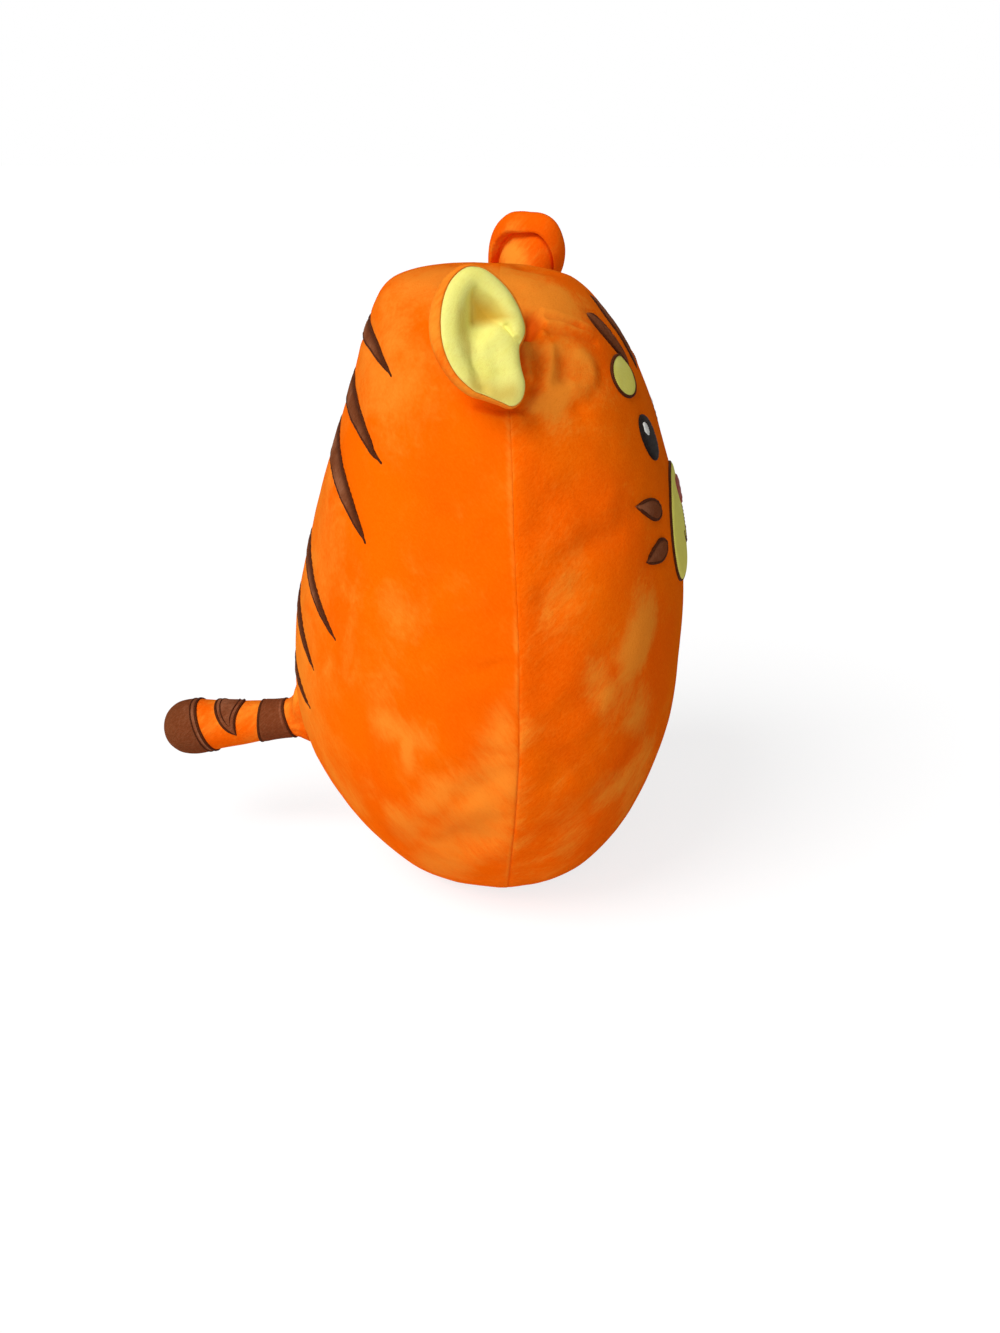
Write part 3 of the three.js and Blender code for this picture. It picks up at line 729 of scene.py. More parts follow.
def seam_lift(points):
    """The groove of the side seam, its puckers, and the cloth drawn out where the tail is sewn on."""
    high = points[:, 2] / MM
    gap = np.abs(points[:, 1] - seam_place(points[:, 2]))
    stitches = 0.5 + 0.5 * np.cos(2 * math.pi * points[:, 2] / SEAM_STITCH)
    free = np.clip((high - 5) / 18, 0, 1) * np.clip((298 - high) / 24, 0.2, 1)
    deeper = 0.2 + 0.25 * np.clip((150 - high) / 60, 0, 1)
    lift = (-deeper * bell(gap, 0.6 * MM) - 0.3 * bell(gap, 4.5 * MM)) * free
    lift += (0.1 - 0.2 * stitches) * bell(gap - 1.7 * MM, 1.0 * MM) * free
    if filled_tree is not None:
        lift += 1.6 * bell(gap, 8 * MM) + 1.2 * smooth_step(high, 275, 292)
        for side in (-1, 1):
            ear = lengths((points - SEWN_EAR * [side, 1, 1]) * [1, 1, 0.5]) / MM
            lift += 2.0 * bell(ear, 15) * (1 - bell(gap, 8 * MM))
    away = (points - TAIL_ROOT) / MM
    tail = lengths(away)
    wide = lengths(away * [0.4, 1, 1])
    above = smooth_step(away[:, 2], 4, 11)
    lift += 3.5 * above * np.exp(-np.clip(wide - 11, 0, None) / 3.2) * (points[:, 1] > 0)
    lift -= 1.5 * (1 - above) * bell(tail - 10, 2.0)
    return lift * MM


def stitch_lift(points):
    """How far the stitching of the stripes draws the panels in, all along and under each patch."""
    lift = np.zeros(len(points))
    flat = points[:, [0, 2]]
    behind = points[:, 1] > level_at(points[:, 2])[3]
    for outlines, chosen in ((BACK_OUTLINES, behind), (FRONT_STRIPES.values(), ~behind)):
        for outline in outlines:
            low, high = outline.min(0) - 6 * MM, outline.max(0) + 6 * MM
            near = chosen & (flat > low).all(1) & (flat < high).all(1)
            drawn = 0.95 * bell(off_line(flat[near], outline, closed=True), 2.2 * MM)
            lift[near] -= np.where(inside(outline, flat[near]), np.maximum(drawn, 0.55), drawn)
    return lift * MM


def filled_lift(points, normals):
    """How far the filled form stands out from the egg along each normal."""
    lift = np.zeros(len(points))
    if filled_tree is None:
        return lift
    start = 14 * MM
    for number, (point, normal) in enumerate(zip(points, normals)):
        origin = Vector(point - normal * start)
        hit = filled_tree.ray_cast(origin, Vector(normal), 2 * start)
        lift[number] = (hit[3] if hit[0] else start) - start
    return np.clip(lift, -LARGEST_MOVE, LARGEST_MOVE)


def dressed(points, normals):
    """Where the cloth of the body lies, over points of the plain egg."""
    lift = filled_lift(points, normals)
    lift += 0.5 * MM * soft_noise(points, 34 * MM, 1) + 0.22 * MM * soft_noise(points, 13 * MM, 2)
    lift += fold_lift(points) + seam_lift(points) + stitch_lift(points)
    moved = points + normals * lift[:, None]
    moved[:, 2] = np.maximum(moved[:, 2], 0)
    return moved


print("seam stitches over the body's height:", round(BODY_HEIGHT / SEAM_STITCH))

# %% [markdown]
# ## The two panels
# The front and the back are cut from separate cloth and sewn along the sides, over the crown and
# under the base. Each panel is a grid from seam to seam, with its columns close together near the
# seam so that the cloth can roll in there.

# %% Define the grid of a panel
HALF_GIRTH = 330 * MM
BASE_ROWS = 14


def seam_to_seam():
    """Shares of the way from one seam to the other, close together at both ends."""
    steps = []
    while sum(steps) < 0.5 * HALF_GIRTH:
        widest = 1.5 if sum(steps) < 85 * MM else 2.6
        steps.append(min(0.45 * 1.14 ** len(steps), widest) * MM)
    half = np.concatenate([[0], np.cumsum(steps)]) / (2 * sum(steps))
    return np.concatenate([half, 1 - half[-2::-1]])


def level_times():
    """Level times from base to crown, close together beside the ears."""
    t = np.linspace(0, 1, 3000)
    height = through_rows(LEVELS, t)[:, 0]
    side = egg_point(t, np.full(len(t), -1.0))
    run = lengths(np.diff(side, axis=0))
    beside_ears = (height[1:] > 244 * MM) & (height[1:] < 291 * MM)
    rows = np.cumsum(run / np.where(beside_ears, 1.15 * MM, 2.1 * MM))
    count = int(rows[-1])
    return np.interp(np.linspace(0, rows[-1], count + 1), np.concatenate([[0], rows]), t)


def panel_grid(side):
    """Points of the plain egg over one panel, from the middle of its base to its crown, and its shape."""
    t = level_times()[:, None]
    levels = through_rows(LEVELS, t[:, 0])
    shift = (seam_shift(levels[:, 0]) / np.maximum(levels[:, 2], 20 * MM))[:, None]
    walls = egg_point(t, (math.pi * side + 2 * shift) * seam_to_seam() - shift)
    centre = np.array([0, LEVELS[0, 4], 0])
    shares = np.linspace(0, 1, BASE_ROWS, endpoint=False)[:, None, None]
    points = np.concatenate([centre + (walls[0] - centre) * shares, walls])
    return points.reshape(-1, 3), points.shape[:2]


print("columns from seam to seam:", len(seam_to_seam()), "rows:", len(level_times()))

# %% [markdown]
# Hands have turned the pile up by brushing in some places. Each stroke is a line on the toy with a
# width and a strength, and the strokes on the crown and the shoulders also paint highlights. Shade is
# painted down in the folds and beside the seam.

# %% List the brush strokes
# Each row: points in mm on the toy's right side, how wide the stroke is in mm, and how strong.
BRUSH_AND_HIGHLIGHT_STROKES = [
    ([(-72, -81, 158), (-80, -77, 144)], 13, 1.0),
    ([(-99, -60, 140), (-97, -64, 128)], 9, 0.6),
    ([(-80, -78, 120), (-72, -80, 104)], 12, 0.6),
    ([(-62, -82, 86), (-84, -69, 74)], 13, 0.7),
    ([(-113, -24, 122), (-113, -21, 100)], 12, 0.7),
    ([(-110, -18, 88), (-101, -8, 58)], 18, 0.9),
    ([(-92, 4, 44), (-74, 14, 24)], 17, 0.9),
    ([(-84, 27, 48), (-92, 24, 62)], 12, 0.8),
    ([(-104, 20, 104), (-96, 20, 84)], 4, 1.0),
    ([(-100, 30, 112), (-106, 14, 108)], 9, 0.6),
    ([(-107, 4, 84), (-101, 12, 72)], 9, 0.7),
    # The crown: pile turned up by brushing, with a painted highlight where light falls from above.
    ([(-24, 20, 296), (-38, -34, 290)], 24, 1.1),
    ([(-50, -40, 278), (-62, -50, 262)], 16, 0.6),
    ([(-97, -53, 188), (-108, -44, 166)], 13, 0.45),
    ([(-66, -33, 272), (-60, -42, 270), (-56, -50, 266)], 7, 0.8),
    # A painted highlight of sheen on the shoulder.
    ([(-70, 36, 258), (-42, 60, 262)], 24, 0.85),
    ([(-104, 26, 176), (-98, 30, 132)], 14, 0.42),
    ([(-43, 32, 279), (-54, 33, 267)], 14, 0.7),
    ([(-60, 74, 100), (-66, 66, 76), (-70, 53, 55)], 12, 0.8),
    ([(-92, -50, 72), (-86, -50, 48)], 12, 0.5),
    ([(-58, -80, 66), (-52, -76, 50)], 12, 0.6),
    ([(-71, -44, 263), (-80, -41, 250)], 11, 0.75),
    ([(-81, -33, 250.5), (-75, -41, 254.5), (-68, -46, 258)], 4.5, 1.1),
]


def brushed_and_highlight_amount(points):
    """Where the pile is turned up by brushing, mostly low, in front and on the crown, and where highlights
    are painted: on the crown and shoulders, towards the spine, along the seam and on fold ridges.
    """
    amount = 0.3 - 0.6 * points[:, 2] / BODY_HEIGHT
    for side, strength in ((1, 1.0), (-1, 0.85)):
        for line, width, weight in BRUSH_AND_HIGHLIGHT_STROKES:
            gap = off_line(points, np.array(line) * MM * [side, 1, 1])
            amount = np.maximum(amount, strength * weight * bell(gap, width * MM) * 1.1)
    # Painted sheen over the back, growing towards the spine.
    behind = smooth_step(points[:, 1] / MM, 36, 82) * smooth_step(points[:, 2] / MM, 40, 90)
    amount = np.maximum(amount, 0.8 * behind)
    # A painted highlight along both edges of the side seam, below 250 mm.
    off_seam = points[:, 1] - seam_place(points[:, 2])
    edge = np.where(off_seam > 0, 0.5 * bell(off_seam - 1.2 * MM, 1.5 * MM), 0.3 * bell(off_seam, MM))
    amount = np.maximum(amount, edge * (points[:, 2] < 250 * MM))
    # A painted highlight on the ridges of the folds.
    return amount + np.clip(fold_lift(points) / (2.6 * MM), 0, 0.5)


def painted_shade_amount(points):
    """Where shade is painted: down in the folds, and in the front edge of the side seam."""
    seam = bell(np.abs(points[:, 1] - seam_place(points[:, 2])), 0.7 * MM)
    low = np.clip((150 * MM - points[:, 2]) / (60 * MM), 0, 1)
    return np.clip(-fold_lift(points) / (4.4 * MM), 0, 0.7) + 0.22 * seam * low


print("brush strokes on each side:", len(BRUSH_AND_HIGHLIGHT_STROKES))

# %% [markdown]
# Each panel is made as a closed sheet. Its inner face lies 1.6 mm inside, as the backing does.

# %% Make the front and back panels
PANEL_THICKNESS = 1.6 * MM


def make_panel(name, side, material):
    """One panel of the body as a closed sheet of cloth."""
    plain, (rows, columns) = panel_grid(side)
    count = rows * columns
    normals = egg_normal(plain)
    outer = dressed(plain, normals)
    inner = outer - normals * PANEL_THICKNESS
    inner[:, 2] = np.maximum(inner[:, 2], outer[:, 2].min() + 0.9 * MM)
    sheet = grid_quads(rows, columns)
    faces = sheet + grid_quads(rows, columns, start=count)
    for edge in (np.arange(0, count, columns), np.arange(columns - 1, count, columns)):
        faces += [(a, b, b + count, a + count) for a, b in zip(edge[:-1], edge[1:])]
    piece = make_piece(name, np.concatenate([outer, inner]), faces, material)
    nearest = KDTree(count)
    for number, point in enumerate(plain):
        nearest.insert(point, number)
    nearest.balance()
    unfolded = plain[[nearest.find(point)[1] for point in coordinates(piece)]]
    # The pale mark holds pile turned up by brushing and painted highlights; the dark mark holds painted
    # shade.
    mark(piece, "brushed_and_painted_highlight", brushed_and_highlight_amount(unfolded))
    mark(piece, "painted_shade", painted_shade_amount(unfolded))
    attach(piece, "body")
    return piece, outer, sheet


front_panel, front_points, front_faces = make_panel("front_panel", -1, front_velour)
back_panel, back_points, back_faces = make_panel("back_panel", 1, back_velour)
for panel in (front_panel, back_panel):
    print(panel.name, len(panel.data.polygons), "faces, open edges:", open_edges(panel))

# %% [markdown]
# ## Filling
# Nobody sees the filling until a seam opens, but the part has it. It is a lumpy copy of the egg
# inside the panels, with clear space to the cloth.

# %% Make the body's filling
FILLING_INSET = 8 * MM
points, centre, faces = egg_shell(60, 72, FILLING_INSET)
lumps = 1.6 * soft_noise(points, 12 * MM, 5) + 0.9 * soft_noise(points, 5 * MM, 6)
points = points + egg_normal(points) * lumps[:, None] * MM
body_filling = make_piece("body_filling", np.concatenate([points, centre]), faces, fibre_filling)
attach(body_filling, "body")
print("filling faces:", len(body_filling.data.polygons), "open edges:", open_edges(body_filling))

# %% [markdown]
# ## Appliqué
# A stripe is a piece of brown velour laid on the panel and stitched down along its edge. Its outline
# is drawn flat, as seen from the front or the back, filled with triangles, and laid on the finished
# cloth by rays, so it follows every fold. The middle puffs up between the stitches.

# %% Define how cloth is laid on the body
body_tree = BVHTree.FromPolygons(
    np.concatenate([front_points, back_points]).tolist(),
    front_faces + [[corner + len(front_points) for corner in face] for face in back_faces],
)


def body_surface(side):
    """A function from flat places (x, z) to points and normals on the body's front or back."""
    def lay(flat):
        points = []
        for x, z in flat:
            hit = body_tree.ray_cast(Vector((x, 0.4 * side, z)), Vector((0, -side, 0)))
            points.append(list(hit[0]) if hit[0] else [x, level_at(z)[3], z])
        return np.array(points), egg_normal(np.array(points))
    return lay


def along_loop(points, reach=1):
    """The direction of a closed line at each of its points."""
    return unit(np.roll(points, -reach, axis=0) - np.roll(points, reach, axis=0))


def sideways(outline, reach=1):
    """The direction to the left of a closed flat line at each of its points."""
    heading = along_loop(outline, reach)
    return np.stack([-heading[:, 1], heading[:, 0]], -1)


def evenly_spaced(outline, spacing):
    """The same closed line with points at even steps."""
    line = np.concatenate([outline, outline[:1]])
    travelled = np.concatenate([[0], np.cumsum(lengths(np.diff(line, axis=0)))])
    count = max(int(round(travelled[-1] / spacing)), 8)
    places = np.linspace(0, travelled[-1], count + 1)[:-1]
    return np.stack([np.interp(places, travelled, line[:, k]) for k in range(line.shape[1])], -1)


def filled_outline(outline, spacing):
    """Points and triangles that fill a flat outline, whose own points come first."""
    low, high = outline.min(0), outline.max(0)
    rows = np.arange(low[1], high[1], spacing * 0.87)
    grid = np.array([
        (x + (number % 2) * spacing / 2, z)
        for number, z in enumerate(rows)
        for x in np.arange(low[0], high[0], spacing)
    ])
    chosen = [outline]
    for offset in (0.45 * spacing, spacing):
        for turn in (1, -1):
            ring = outline + sideways(outline) * offset * turn
            chosen.append(ring[depth_inside(outline, ring) > 0.9 * offset])
    chosen.append(grid[depth_inside(outline, grid) > 1.5 * spacing])
    edges = [(k, (k + 1) % len(outline)) for k in range(len(outline))]
    places = [Vector(place) for place in np.concatenate(chosen)]
    result = delaunay_2d_cdt(places, edges, [], 1, 1e-7)
    return np.array([list(place) for place in result[0]]), [list(face) for face in result[2]]


def edge_loop(faces):
    """Edges that only one triangle has, in the direction that it has them."""
    edges = {(a, b) for face in faces for a, b in zip(face, face[1:] + face[:1])}
    return [(a, b) for a, b in edges if (b, a) not in edges]


def padded_patch(name, outline, lay, material, puff=0.9, lift=0.1, spacing=1.7, ribs=0):
    """A closed puffed patch on a surface. Sizes are in mm, and ribs is the pitch of satin rows."""
    flat, faces = filled_outline(evenly_spaced(outline, 0.75 * spacing * MM), spacing * MM)
    points, normals = lay(flat)
    border, _ = lay(evenly_spaced(outline, 0.5 * MM))
    rounding = 1 - np.clip(off_line(points, border, closed=True) / (3.2 * MM), 0, 1)
    rise = puff * (0.25 + 0.75 * np.sqrt(np.clip(1 - rounding**2.2, 0, 1)))
    if ribs:
        rise += 0.13 * np.cos(2 * math.pi * flat[:, 1] / (ribs * MM))
    else:
        rise += 0.16 * soft_noise(points, 7 * MM, 9)
    top = points + normals * (lift + rise)[:, None] * MM
    bottom = points + normals * 0.12 * MM
    count = len(points)
    closed = faces + [[corner + count for corner in reversed(face)] for face in faces]
    closed += [[b, a, a + count, b + count] for a, b in edge_loop(faces)]
    piece = make_piece(name, np.concatenate([top, bottom]), closed, material)
    mark(piece, "brushed_and_painted_highlight", 0.25 + 0.3 * soft_noise(coordinates(piece), 16 * MM, 4))
    return piece


print("body surface ready, faces:", len(front_faces) + len(back_faces))

# %% [markdown]
# ## Satin stitch
# Each patch is edged with satin stitch: short threads side by side across the edge, which stand up
# as a narrow ridge. A row of half rounds is swept along the outline, and each stitch swells it once,
# so the ridge looks like thread seen close up and like a dark line from afar.

# %% Define the satin-stitched edge
STITCH_STEP = 0.34 * MM
STEPS_PER_STITCH = 3
EDGE_INSET = 0.3 * MM


def taper(points):
    """A share from 0.3 at the sharp corners of a closed line to 1 a few millimetres away."""
    back, ahead = points - np.roll(points, 4, axis=0), np.roll(points, -4, axis=0) - points
    turn = (back * ahead).sum(1) / (lengths(back) * lengths(ahead))
    corners = points[turn < 0.4]
    if not len(corners):
        return np.ones(len(points))
    gap = lengths(points[:, None] - corners[None]).min(1)
    return np.clip(0.3 + gap / (6 * MM), 0.3, 1)


def satin_ridge(name, points, normals, width=1.6, height=0.95):
    """A stitched ridge round a closed line of points about a third of a millimetre apart."""
    heading = along_loop(points, 2)
    across = unit(np.cross(normals, heading))
    size = taper(points)
    swell = size * (1 + 0.14 * np.cos(2 * math.pi * np.arange(len(points)) / STEPS_PER_STITCH))
    rings = []
    for turn in np.linspace(-0.15, math.pi + 0.15, 7):
        side = math.cos(turn) * width / 2 * MM * size[:, None]
        up = (math.sin(turn) * height * swell + 0.1) * MM
        slant = heading * math.cos(turn) * 0.25 * MM
        rings.append(points + across * side + slant + normals * up[:, None])
    rings.append(points + normals * 0.05 * MM)
    count, around = len(points), len(rings)
    faces = grid_quads(count, around, wrap=True) + ring_quads((count - 1) * around, 0, around)
    return make_piece(name, np.stack(rings, 1).reshape(-1, 3), faces, dark_thread, node=False)


def drawn_in(outline, amount):
    """A flat outline moved inward by an amount."""
    x, z = outline.T
    turning = np.sign((x * np.roll(z, -1) - np.roll(x, -1) * z).sum())
    return outline + sideways(outline, 2) * turning * amount


def edged(piece, outline, lay):
    """The satin ridge along the edge of a patch."""
    points, _ = lay(drawn_in(evenly_spaced(outline, STITCH_STEP), EDGE_INSET))
    points = evenly_spaced(points, STITCH_STEP)
    return satin_ridge(piece.name + "_stitching", points, egg_normal(points))


print("stitches per centimetre of edge:", round(10 * MM / (STITCH_STEP * STEPS_PER_STITCH)))

# %% [markdown]
# ## Stripes
# Six stripes cross the spine like saddles and droop to a point on each flank. Small leaf-shaped
# ones mark the forehead and the cheeks. Shade is painted along the upper edge of each back stripe.

# %% Make the stripes
def make_stripe(name, outline, lay, shaded=0):
    """One stripe and its stitched edge, with painted shade along the first points of the outline."""
    piece = padded_patch(name, outline, lay, brown_velour)
    if shaded:
        gap = off_line(coordinates(piece), lay(outline[:shaded])[0])
        # Painted shade along the stripe's upper edge.
        mark(piece, "painted_shade", 0.85 * bell(gap - 0.6 * MM, 1.9 * MM))
    ride_body(piece, edged(piece, outline, lay))
    return piece


on_front, on_back = body_surface(-1), body_surface(1)
stripes = [
    make_stripe(f"back_stripe_{number + 1}", outline, on_back, shaded=56)
    for number, outline in enumerate(BACK_OUTLINES)
]
stripes += [make_stripe(name, outline, on_front) for name, outline in FRONT_STRIPES.items()]
print("stripes:", len(stripes), "open edges:", open_edges(*stripes))

# %% [markdown]
# ## Face
# The face is a plain one of the kind that any toy tiger might have: a round cream muzzle, a soft
# triangular nose, a short mouth line, oval eyes with a glint and two cream brow spots. The muzzle
# and the spots are padded velour. Nose, eyes and glints are solid embroidery, with its rows showing.

# %% Make the face
def face_frame(half_wide, top, bottom):
    """A function from shares across and down to flat places."""
    return lambda across, down: place_at(across * half_wide, top - down * (top - bottom))


def muzzle_outline():
    """Two round cheeks that meet under the nose."""
    at = face_frame(0.36, 0.693, 0.527)
    notch = 0.08
    return there_and_back(
        at(0, 0),
        (at(0.36, 0), at(0.6, 0.08), at(0.82, 0.3)),
        (at(1.08, 0.56), at(1.02, 1), at(0.46, 1)),
        (at(0.27, 1), at(0.1, 1 - notch / 2), at(0, 1 - notch)),
    )


def nose_outline():
    """A soft triangle with its point down."""
    at = face_frame(0.092, 0.674, 0.63)
    return there_and_back(
        at(0, 0),
        (at(0.9, -0.06), at(1.3, 0.3), at(0.7, 0.6)),
        (at(0.4, 0.86), at(0.2, 1), at(0, 1)),
    )


def mouth_outline():
    """A stem below the nose that parts into two upturned lines."""
    at = face_frame(0.13, 0.628, 0.57)
    line = 0.14
    return there_and_back(
        at(0, 0),
        (at(0.02, 0), at(line / 3, 0), at(line / 3, 0.01)),
        (at(line / 3, 0.2), at(line / 3, 0.4), at(line / 3, 0.6)),
        (at(0.3, 0.95), at(0.7, 0.95), at(0.94, 0.5)),
        (at(0.98, 0.5), at(1, 0.52), at(1, 0.56)),
        (at(0.75, 1), at(0.3, 1 + line / 2), at(0, 0.62 + line)),
    )


def oval(across, height, wide, tall, tilt=0.0):
    """An oval outline, tilted by degrees."""
    angle = turns(64)
    x, z = wide * BODY_WIDTH / 2 * np.cos(angle), tall * BODY_HEIGHT / 2 * np.sin(angle)
    turn = math.radians(tilt)
    turned = [x * math.cos(turn) - z * math.sin(turn), x * math.sin(turn) + z * math.cos(turn)]
    return place_at(across, height) + np.stack(turned, -1)


def cream_patch(name, outline, puff):
    """A padded patch of cream velour with its stitched edge."""
    piece = padded_patch(name, outline, on_front, cream_velour, puff)
    ride_body(piece, edged(piece, outline, on_front))
    return piece


def embroidered(name, outline, material, lift, puff):
    """Solid satin stitching inside an outline."""
    piece = padded_patch(name, outline, on_front, material, puff, lift, spacing=0.8, ribs=0.9)
    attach(piece, "body")
    return piece


face = [
    cream_patch("muzzle_patch", muzzle_outline(), 1.5),
    embroidered("nose", nose_outline(), rosy_thread, 1.3, 1.3),
    embroidered("mouth", mouth_outline(), dark_thread, 1.3, 0.8),
]
for side_name, sign in (("left", 1), ("right", -1)):
    eye = oval(sign * 0.31, 0.76, 0.075, 0.068)
    glint = oval(sign * 0.31 - 0.025, 0.774, 0.022, 0.019)
    spot = oval(sign * 0.3, 0.85, 0.11, 0.055, sign * -16)
    face += [
        embroidered(side_name + "_eye", eye, black_thread, 0.2, 1.2),
        embroidered(side_name + "_eye_glint", glint, white_thread, 1.3, 0.6),
        cream_patch(side_name + "_brow_spot", spot, 0.9),
    ]
print("face pieces:", len(face), "open edges:", open_edges(*face))

# %% [markdown]
# ## Ears
# Each ear is two layers sewn round a plump rolled rim: orange velour outside, cream inside. It
# opens sideways like a cup. Its front edge is pinched, so the upper rim ends in a notch, and below
# it the lining rises as a lobe and runs down to a corner. The lining is a height over the plane of
# the rim. A table gives heights in the hollow and on the lobe, and a thin plate bent over those
# places joins them smoothly. Places are (forward, up) in mm on that plane.

# %% List the ear's outline and heights
EAR_OUTLINE = np.array([
    (0.5, 27.4), (4.8, 26.7), (8.7, 24.4), (12.4, 21.2), (15.9, 17.1), (18.6, 12.4), (20.2, 8.3),
    (21.2, 4.3), (21.1, 0.9), (19.9, -1.9), (18.6, -4.2), (18.4, -8.1), (18.7, -12.1), (19.4, -15.4),
    (20.1, -18.8), (19.7, -22.6), (18.2, -25.9), (15.6, -28.0), (13.0, -28.2), (10.1, -26.8),
    (7.3, -25.7), (4.6, -24.5), (2.0, -23.4), (-0.8, -22.4), (-3.2, -20.8), (-5.5, -18.8),
    (-8.2, -16.0), (-10.6, -12.3), (-12.5, -7.9), (-13.7, -3.2), (-14.1, 2.4), (-13.7, 8.2),
    (-12.5, 13.8), (-10.5, 18.8), (-8.2, 22.3), (-5.4, 25.0), (-2.5, 26.8),
])
EAR_CENTRE = np.array([3.5, 0.5])
EAR_SECTORS = 140
RIM_DROP = -1.2
HOLLOW = [
    (0.8, 20.1, -3.2), (2.0, 15.9, -5.8), (1.9, 10.2, -7.2), (1.1, 5.9, -6.8), (5.6, 17.3, -5.2),
    (9.6, 13.8, -6.4), (13.1, 10.3, -6.2), (14.4, 8.0, -5.6), (6.6, 12.5, -7.4), (9.0, 9.7, -7.6),
    (4.7, 7.8, -7.4), (-6.8, 14.4, -3.6), (-4.2, 14.8, -4.3), (-1.3, 15.3, -5.0), (-7.0, 8.1, -4.0),
    (-4.1, 9.0, -4.7), (-1.0, 8.4, -5.7), (-6.6, 2.8, -3.9), (-3.2, 2.9, -4.4), (5.0, 5.4, -6.2),
    (9.1, 6.9, -6.2), (1.3, 3.2, -5.6), (5.9, 2.4, -2.2), (9.2, 3.4, -1.2), (12.1, 2.7, -0.7),
    (14.6, -0.6, 0.6), (2.9, 0.8, -3.8), (4.5, -1.9, -1.2), (8.4, -1.7, 0.4), (12.2, -3.8, 1.2),
    (15.3, -5.9, 1.2), (6.2, -6.3, -0.6), (9.8, -9.8, 0.7), (13.7, -11.9, 1.2), (11.5, -15.8, 0.6),
    (14.1, -21.1, 0.6), (15.2, -24.3, 0.2), (1.2, -2.9, -3.4), (-1.3, -2.8, -3.3), (-3.6, -3.0, -2.3),
    (1.7, -8.0, -2.3), (3.3, -12.5, -1.6), (5.5, -16.2, -0.9), (8.0, -19.9, -0.4), (10.5, -23.3, -0.1),
    (-6.6, -5.4, -3.2), (-4.5, -9.4, -2.8), (-1.9, -13.5, -2.1), (1.2, -17.5, -1.5), (4.3, -20.7, -0.6),
]
ROLL = [(0, 3.9), (30, 4.1), (60, 4.1), (90, 4.2), (130, 4.4), (180, 4.5), (220, 4.2), (250, 3.2),
        (275, 2.2), (352, 3.7)]
ROLL_PLUMPNESS = [(0, 0.9), (60, 0.85), (110, 0.68), (150, 0.42), (180, 0.38), (230, 0.38), (280, 0.45),
                  (350, 0.9)]
SLOPING = [(0, 0), (70, 0), (105, 0.6), (125, 1), (235, 1), (262, 0.3), (280, 0)]
LOBE = np.array([(25, -3.6), (19.7, -2.9), (16.0, -0.9), (13.3, 4.2), (8.5, 5.4), (2.5, -2), (-1, -12),
                 (-3, -34), (25, -34)])
# Outline of the golden painted shade in the lining's hollow.
HOLLOW_PAINTED_SHADE = [(1.0, 16.8), (1.4, 12.0), (0.8, 6.0), (6.0, 5.6), (13.6, 7.2), (8.0, 13.0), (2.6, 15.8)]
LEFT_FULLER = [(0, 1.02), (15, 1.15), (30, 1.34), (42, 1.42), (55, 1.49), (67, 1.36), (80, 1.1),
               (92, 1.02), (105, 0.99), (330, 1.0)]
# Creases in the lining. Each row: a line, a depth in mm and a width in mm.
EAR_CREASES = [
    ([(20.6, -3.3), (16.2, -0.9), (13.4, 4.2)], 1.2, 0.7),
    ([(1.2, 18.5), (2, 15), (1.9, 10.2), (1.6, 7)], 1.1, 1.0),
    ([(8, -8), (10, -14)], 0.9, 3.8),
    ([(2.5, -3), (4, -9), (5, -15)], -0.4, 3.0),
]
print("places of the lining with a known height:", len(HOLLOW))

# %% [markdown]
# Tables by angle are smoothed as they go round. The thin plate is a sum of bends, one at each known
# place, and one set of linear equations gives their weights.

# %% Define curves, smoothed tables and the thin plate
def closed_curve(points, count):
    """Evenly timed points on a smooth closed curve through points."""
    wrapped = np.concatenate([points[-3:], points, points[:4]])
    span = len(wrapped) - 1
    t = (3 + np.linspace(0, len(points), count, endpoint=False)) / span
    return through_rows(wrapped, t)


def by_angle(table, angles):
    """Numbers between a table's rows of (degrees, number), going round."""
    table = np.array(sorted(table), float)
    around = np.arange(360)
    values = np.interp(around, table[:, 0], table[:, 1], period=360)
    weights = bell(np.arange(-24, 25), 9)
    smooth = sum(w * np.roll(values, k) for k, w in zip(range(-24, 25), weights)) / weights.sum()
    return np.interp(np.degrees(angles) % 360, around, smooth, period=360)


def radius_by_angle(curve, angles):
    """How far a closed curve is from the ear's centre in each direction."""
    away = curve - EAR_CENTRE
    towards = np.arctan2(away[:, 1], away[:, 0]) % (2 * math.pi)
    order = np.argsort(towards)
    return np.interp(angles, towards[order], lengths(away)[order], period=2 * math.pi)


def smooth_max(first, second, softness):
    """The larger of two heights, with a fillet where they cross."""
    blend = np.clip(0.5 + 0.5 * (first - second) / softness, 0, 1)
    return second * (1 - blend) + first * blend + softness * blend * (1 - blend)


def thin_plate(table, places):
    """Heights at places, of a thin plate bent over a table of (across, up, height)."""
    table = np.array(table, float)
    count = len(table)
    known = table[:, :2]

    def bend(first, second):
        gap = lengths(first[:, None] - second[None])
        return gap**2 * np.log(gap + 1e-9)

    system = np.zeros((count + 3, count + 3))
    system[:count, :count] = bend(known, known) + 1.5 * np.eye(count)
    system[:count, count] = system[count, :count] = 1
    system[:count, count + 1:] = known
    system[count + 1:, :count] = known.T
    weights = np.linalg.solve(system, np.concatenate([table[:, 2], np.zeros(3)]))
    return bend(places, known) @ weights[:count] + weights[count] + places @ weights[count + 1:]


print("height in the middle of the hollow, mm:", thin_plate(HOLLOW, np.array([[2.0, 10.0]])).round(1))

# %% [markdown]
# The rim is an arc whose radius and plumpness change as it goes round. The lining's height is that
# of the rim, joined by a fillet to the hollow, with the lobe laid over both and a few creases.

# %% Define the height of the lining
ear_curve = closed_curve(EAR_OUTLINE, 900)
ear_angles = turns(EAR_SECTORS)
ear_rays = np.stack([np.cos(ear_angles), np.sin(ear_angles)], -1)
ear_radii = radius_by_angle(ear_curve, ear_angles)


